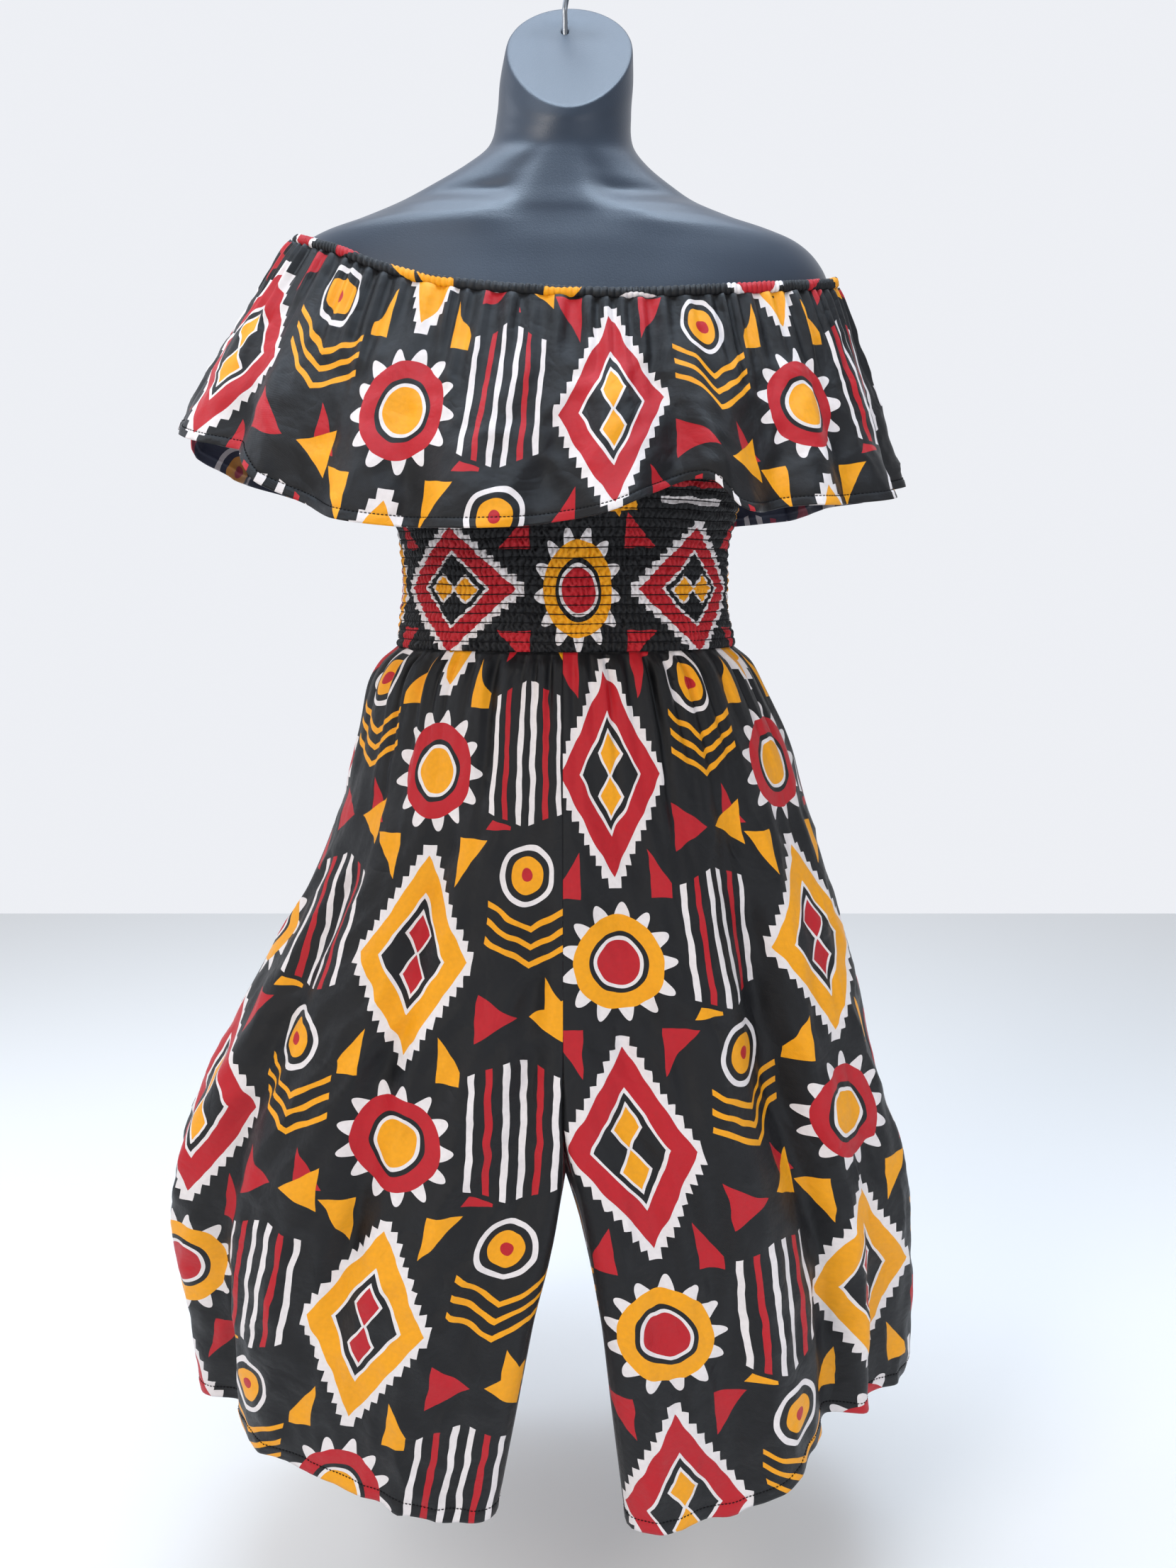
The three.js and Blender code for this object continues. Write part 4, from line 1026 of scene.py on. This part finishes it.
# how many mm of flat cloth lie in one mm along the panel, more where it is gathered
fullness = table(
    "drop flat",
    [568, 1.58], [600, 1.38], [645, 1.3], [700, 1.22], [780, 1.1], [860, 1.0], [936, 0.97], [1262, 1.0],
)
trouserLook = {
    "columns": 150,
    "rows": 104,
    "gatheredRows": 34,       # closer ones, down to gatheredFoot
    "gatheredFoot": 640.0,
    "inwardShare": 7 / 36,    # of the columns, for the cloth that turns in between the legs
    "waist": 568.3,
    "crotchCurve": 860.0,     # where the centre seam starts to sweep under
    "crotchFullness": 0.6,    # it stays forward and turns under low: 1 would be an even quarter oval
    "crotch": 1045.0,
    "hem": 1262.0,
    "riseStart": 900.0,       # below this the cloth is drawn up to the hem's own line
    "hemStitch": 10.0,
    "gathers": 13,            # at the waist seam of each panel
    "gatherHeight": 4.2,
    "gatherFade": (62, 34),   # over how many mm they sink, and how much that varies
    "seamDip": 1.6,           # how far from the edges the cloth settles to its seams
    "foldEnds": (260, 160),   # how many mm a long fold takes to come, and to go
    "rumpled": (590, 720),    # the drops over which the crumples come
    "tuckedIn": 2.4,          # how far each gather draws the print sideways
    "patternRight": 32.5,     # the print's place on the wearer's right leg and on the left
    "patternLeft": 50.5,
    "patternDown": -95.0,
    "downFullness": 1.02,     # mm of flat cloth to a mm down
    "patternBack": (64.0, 90.0),  # how much further across and down the back panels are cut
}


def panelLine(drop, half, depth, corner, inseam):
    # A panel's outline at one height, in its own quarter: from the outer seam round an oval to the corner
    # where the cloth turns inwards, then along the middle to the centre seam or the inseam. It comes back
    # with the distance of that corner along it.
    look = trouserLook
    corner, inseam = max(corner, sideGap), max(inseam, sideGap)
    sweep = np.clip((drop - look["crotchCurve"]) / (look["crotch"] - look["crotchCurve"]), 0, 1)
    edgeDepth = max(depth * max(math.cos(math.pi / 2 * sweep), 0) ** look["crotchFullness"], sideGap)
    inwards = depth - edgeDepth
    opened = smoothStep(drop, look["crotchCurve"], look["hem"])
    turn = min(26 * (0.15 + 0.85 * opened), inwards * 0.5)
    angle = np.linspace(0, math.acos(min(turn / (half - corner), 1)), 90)
    rise = sideGap + (depth - sideGap) * np.sin(angle)
    line = np.stack([corner + (half - corner) * np.cos(angle), rise], -1)
    if inwards < 0.3:
        return line, lengthOf(line)[-1]
    parted = smoothStep(drop, look["crotch"], look["crotch"] + 60)
    edge = np.array([max(sideGap, inseam * parted), edgeDepth])
    tip = np.array([corner, depth])
    finish = tip + (edge - tip) * turn / inwards
    t = np.linspace(0, 1, 13)[1:, None]
    curve = (1 - t) ** 2 * line[-1] + 2 * t * (1 - t) * tip + t ** 2 * finish
    whole = np.concatenate([line, curve, [edge]])
    arc = lengthOf(whole)
    return whole, (arc[len(line) - 1] + arc[len(line) + len(curve) - 1]) / 2


def panelFlat(drop, half, depth, corner, inseam):
    # at one height, for each column: x, y, the distance along the outline, and the corner's distance
    look = trouserLook
    line, cornerAt = panelLine(drop, half, depth, corner, inseam)
    arc = lengthOf(line)
    columns = look["columns"]
    ovalColumns = round((columns - 1) * (1 - look["inwardShare"]))
    evenly = cornerAt * ovalColumns / (columns - 1)
    settled = smoothStep(drop, look["waist"], look["crotchCurve"])
    ovalEnd = evenly + (cornerAt - 8 - evenly) * settled
    distance = np.concatenate([
        np.linspace(0, ovalEnd, ovalColumns, endpoint=False),
        np.linspace(ovalEnd, arc[-1], columns - ovalColumns),
    ])
    x, y = [np.interp(distance, arc, places) for places in line.T]
    return np.stack([x, y, distance, np.full(columns, cornerAt)], -1)


def buildLeg(name, side, face):
    # the panel's outline at each height, moved out by gathers + folds + rumple and settled at its seams
    look = trouserLook
    hem, stitch = look["hem"], look["hem"] - look["hemStitch"]
    drop = np.concatenate([
        np.linspace(look["waist"], look["gatheredFoot"], look["gatheredRows"]),
        np.linspace(look["gatheredFoot"] + 5, stitch - 3, look["rows"]),
        [stitch - 1, stitch, stitch + 1], np.linspace(stitch + 3, hem, 4),
    ])
    outer = ["rightSide" if side < 0 else "leftSide", "front" if face < 0 else "back"]
    inner = ["leftFrontCorner" if side > 0 and face < 0 else "corner", "inseam"]
    sizes = [read(trouserRings, "drop", column, drop) for column in outer]
    sizes += [read(trouserSplits, "drop", column, drop) for column in inner]
    flat = np.stack([panelFlat(*row) for row in zip(drop, *sizes)])
    place, distance, cornerAt = flat[..., :2], flat[..., 2], flat[..., 3]
    drop = drop[:, None]
    across = distance / cornerAt
    fromWaist, fromStitch = drop - look["waist"], drop - stitch
    along = unit(np.gradient(place, axis=1))
    outward = np.stack([along[..., 1], -along[..., 0]], -1)
    seed = 60 + 7 * side + 3 * face

    wander = crumple(across * 9, 0 * across, 2.3, seed)
    uneven = crumple(across * 9, 0 * across, 0.9, seed + 1)
    phase = 2 * np.pi * look["gathers"] * across + 2.1 * wander
    longest, varied = look["gatherFade"]
    fading = np.exp(-fromWaist / (longest + varied * uneven))
    gathers = look["gatherHeight"] * (0.85 + 0.35 * uneven) * fading * smoothStep(fromWaist, -6, 16)
    gathers = gathers * (np.sin(phase) + 0.35 * np.sin(2 * phase + 1 + wander))

    folds, (comes, goes) = 0, look["foldEnds"]
    for at, drift, reach, height, top, foot in zip(*panelFolds[name].values()):
        centre = at + drift * fromWaist / (hem - look["waist"])
        shown = smoothStep(drop, top, top + comes)
        ended = 1 - smoothStep(drop, foot - goes, foot) if foot < hem else 1
        folds = folds + height * shown * ended * hump((across - centre) * cornerAt / (1.55 * reach))
    rumple = 2.4 * crumple(distance, drop / 3.5, 62, seed + 2)
    rumple = rumple + 0.9 * crumple(distance, drop / 1.6, 27, seed + 3)
    rumple = rumple + 1.9 * creased(distance, drop / 2.4, 70, seed + 4)
    soft = folds + rumple * smoothStep(drop, *look["rumpled"])
    lift = gathers * between(across, (0, 0.03), (0.96, 1)) + soft * between(across, (0, 0.06), (0.92, 1))
    lift = lift + 0.4 * smoothStep(fromStitch, 0, 1.5) - 0.5 * np.exp(-fromStitch ** 2)
    seamDip = sum(np.exp(-(off / look["seamDip"]) ** 2) for off in (distance[:, -1:] - distance, distance))
    lift = lift * (1 - np.clip(seamDip, 0, 1))
    xy = place + lift[..., None] * outward
    rise = read(hemRises, "across", "right" if side < 0 else "left", np.clip(across, 0, 1))
    height = -drop + rise * smoothStep(drop, look["riseStart"], hem)
    points = np.stack([side * xy[..., 0], face * xy[..., 1], height], -1)

    pattern = look["patternRight"] if side < 0 else look["patternLeft"]
    backAcross, backDown = look["patternBack"] if face > 0 else (0, 0)
    drawn = look["tuckedIn"] * np.cos(phase) * fading
    gathered = read(fullness, "drop", "flat", drop)
    u = side * (cornerAt - distance + drawn) * gathered + pattern + backAcross
    v = (-height - look["waist"]) * look["downFullness"] + look["patternDown"] + backDown
    flip = side * face < 0
    node = "leg_" + name
    addCloth(node + "_cloth", node, points, u, v, flip=flip)
    row = int(np.argmin(np.abs(fromStitch[:, 0])))
    stitches(node, points[row], outwardOf(points, flip)[row])


buildLeg("right_front", -1, -1)
buildLeg("right_back", -1, 1)
buildLeg("left_front", 1, -1)
buildLeg("left_back", 1, 1)
print("trousers made")

# ---- floor, light and camera

studio = {
    "floorDrop": 1450.0,
    "floorEdges": (-3000.0, 3000.0, -3000.0, 2200.0),
    "cameraPlace": (0.0195, -1.020, -0.510),
    "cameraPitch": 80.0,
    "lens": 27.05,
    "wallLight": 0.95,      # the room's light from behind the form, which is what shows behind it
    "roomLight": 0.45,      # and from the camera's side
}
# each softbox: watts, width and height, place, the point that it faces, colour
softboxes = {
    "keySoftbox": (27, (0.9, 1.3), (-1.4, -1.7, 0.6), (0, 0, -0.7), "#fff8f0"),
    "fillSoftbox": (14, (1.2, 1.6), (1.4, -1.7, -0.5), (0, 0, -0.6), "#eef4ff"),
    "window": (12, (0.8, 1.4), (-1.8, 0.1, 0.2), (0, 0, -0.5), "#e6f0ff"),
    "ceilingSoftbox": (26, (1.8, 1.1), (0, 0.1, 1.2), (0, -0.05, -0.3), "#d9ebff"),
    "skylight": (14, (1.3, 0.25), (0, -0.22, 1.1), (0, -0.05, -0.3), "#d3e9ff"),
}


def addObject(name, data, location, rotation):
    made = bpy.data.objects.new(name, data)
    bpy.context.collection.objects.link(made)
    made.location, made.rotation_euler = location, rotation
    return made


def buildStudio():
    left, right, front, back = studio["floorEdges"]
    corners = np.array([[left, front], [right, front], [right, back], [left, back]])
    corners = np.pad(corners, ((0, 0), (0, 1)), constant_values=-studio["floorDrop"])
    addMesh("floor", corners, np.array([[0, 1, 2, 3]]), [wallPaint])

    world = bpy.data.worlds.new("world")
    bpy.context.scene.world = world
    world.use_nodes = True
    tree = world.node_tree
    towards = addNode(tree, "ShaderNodeTexCoord").outputs["Generated"]
    split = addNode(tree, "ShaderNodeSeparateXYZ", {0: towards})
    strength = addNode(
        tree, "ShaderNodeMapRange",
        {0: split.outputs[1], 1: 0.0, 2: 0.6, 3: studio["roomLight"], 4: studio["wallLight"]},
        interpolation_type="SMOOTHSTEP",
    ).outputs[0]
    feed(tree, tree.nodes["Background"], {"Color": linear("#f3f5fa"), "Strength": strength})

    for name, (watts, size, place, target, colour) in softboxes.items():
        lamp = bpy.data.lights.new(name, "AREA")
        lamp.energy, lamp.shape = watts, "RECTANGLE"
        lamp.size, lamp.size_y = size
        lamp.color = linear(colour)[:3]
        facing = (Vector(target) - Vector(place)).to_track_quat("-Z", "Y").to_euler()
        addObject(name, lamp, place, facing)

    camera = bpy.data.cameras.new("camera")
    camera.lens = studio["lens"]
    camera.clip_start = 0.01
    pitch = math.radians(studio["cameraPitch"])
    bpy.context.scene.camera = addObject("camera", camera, studio["cameraPlace"], (pitch, 0, 0))
    bpy.context.scene.view_settings.view_transform = "Standard"


buildStudio()
print("studio made")
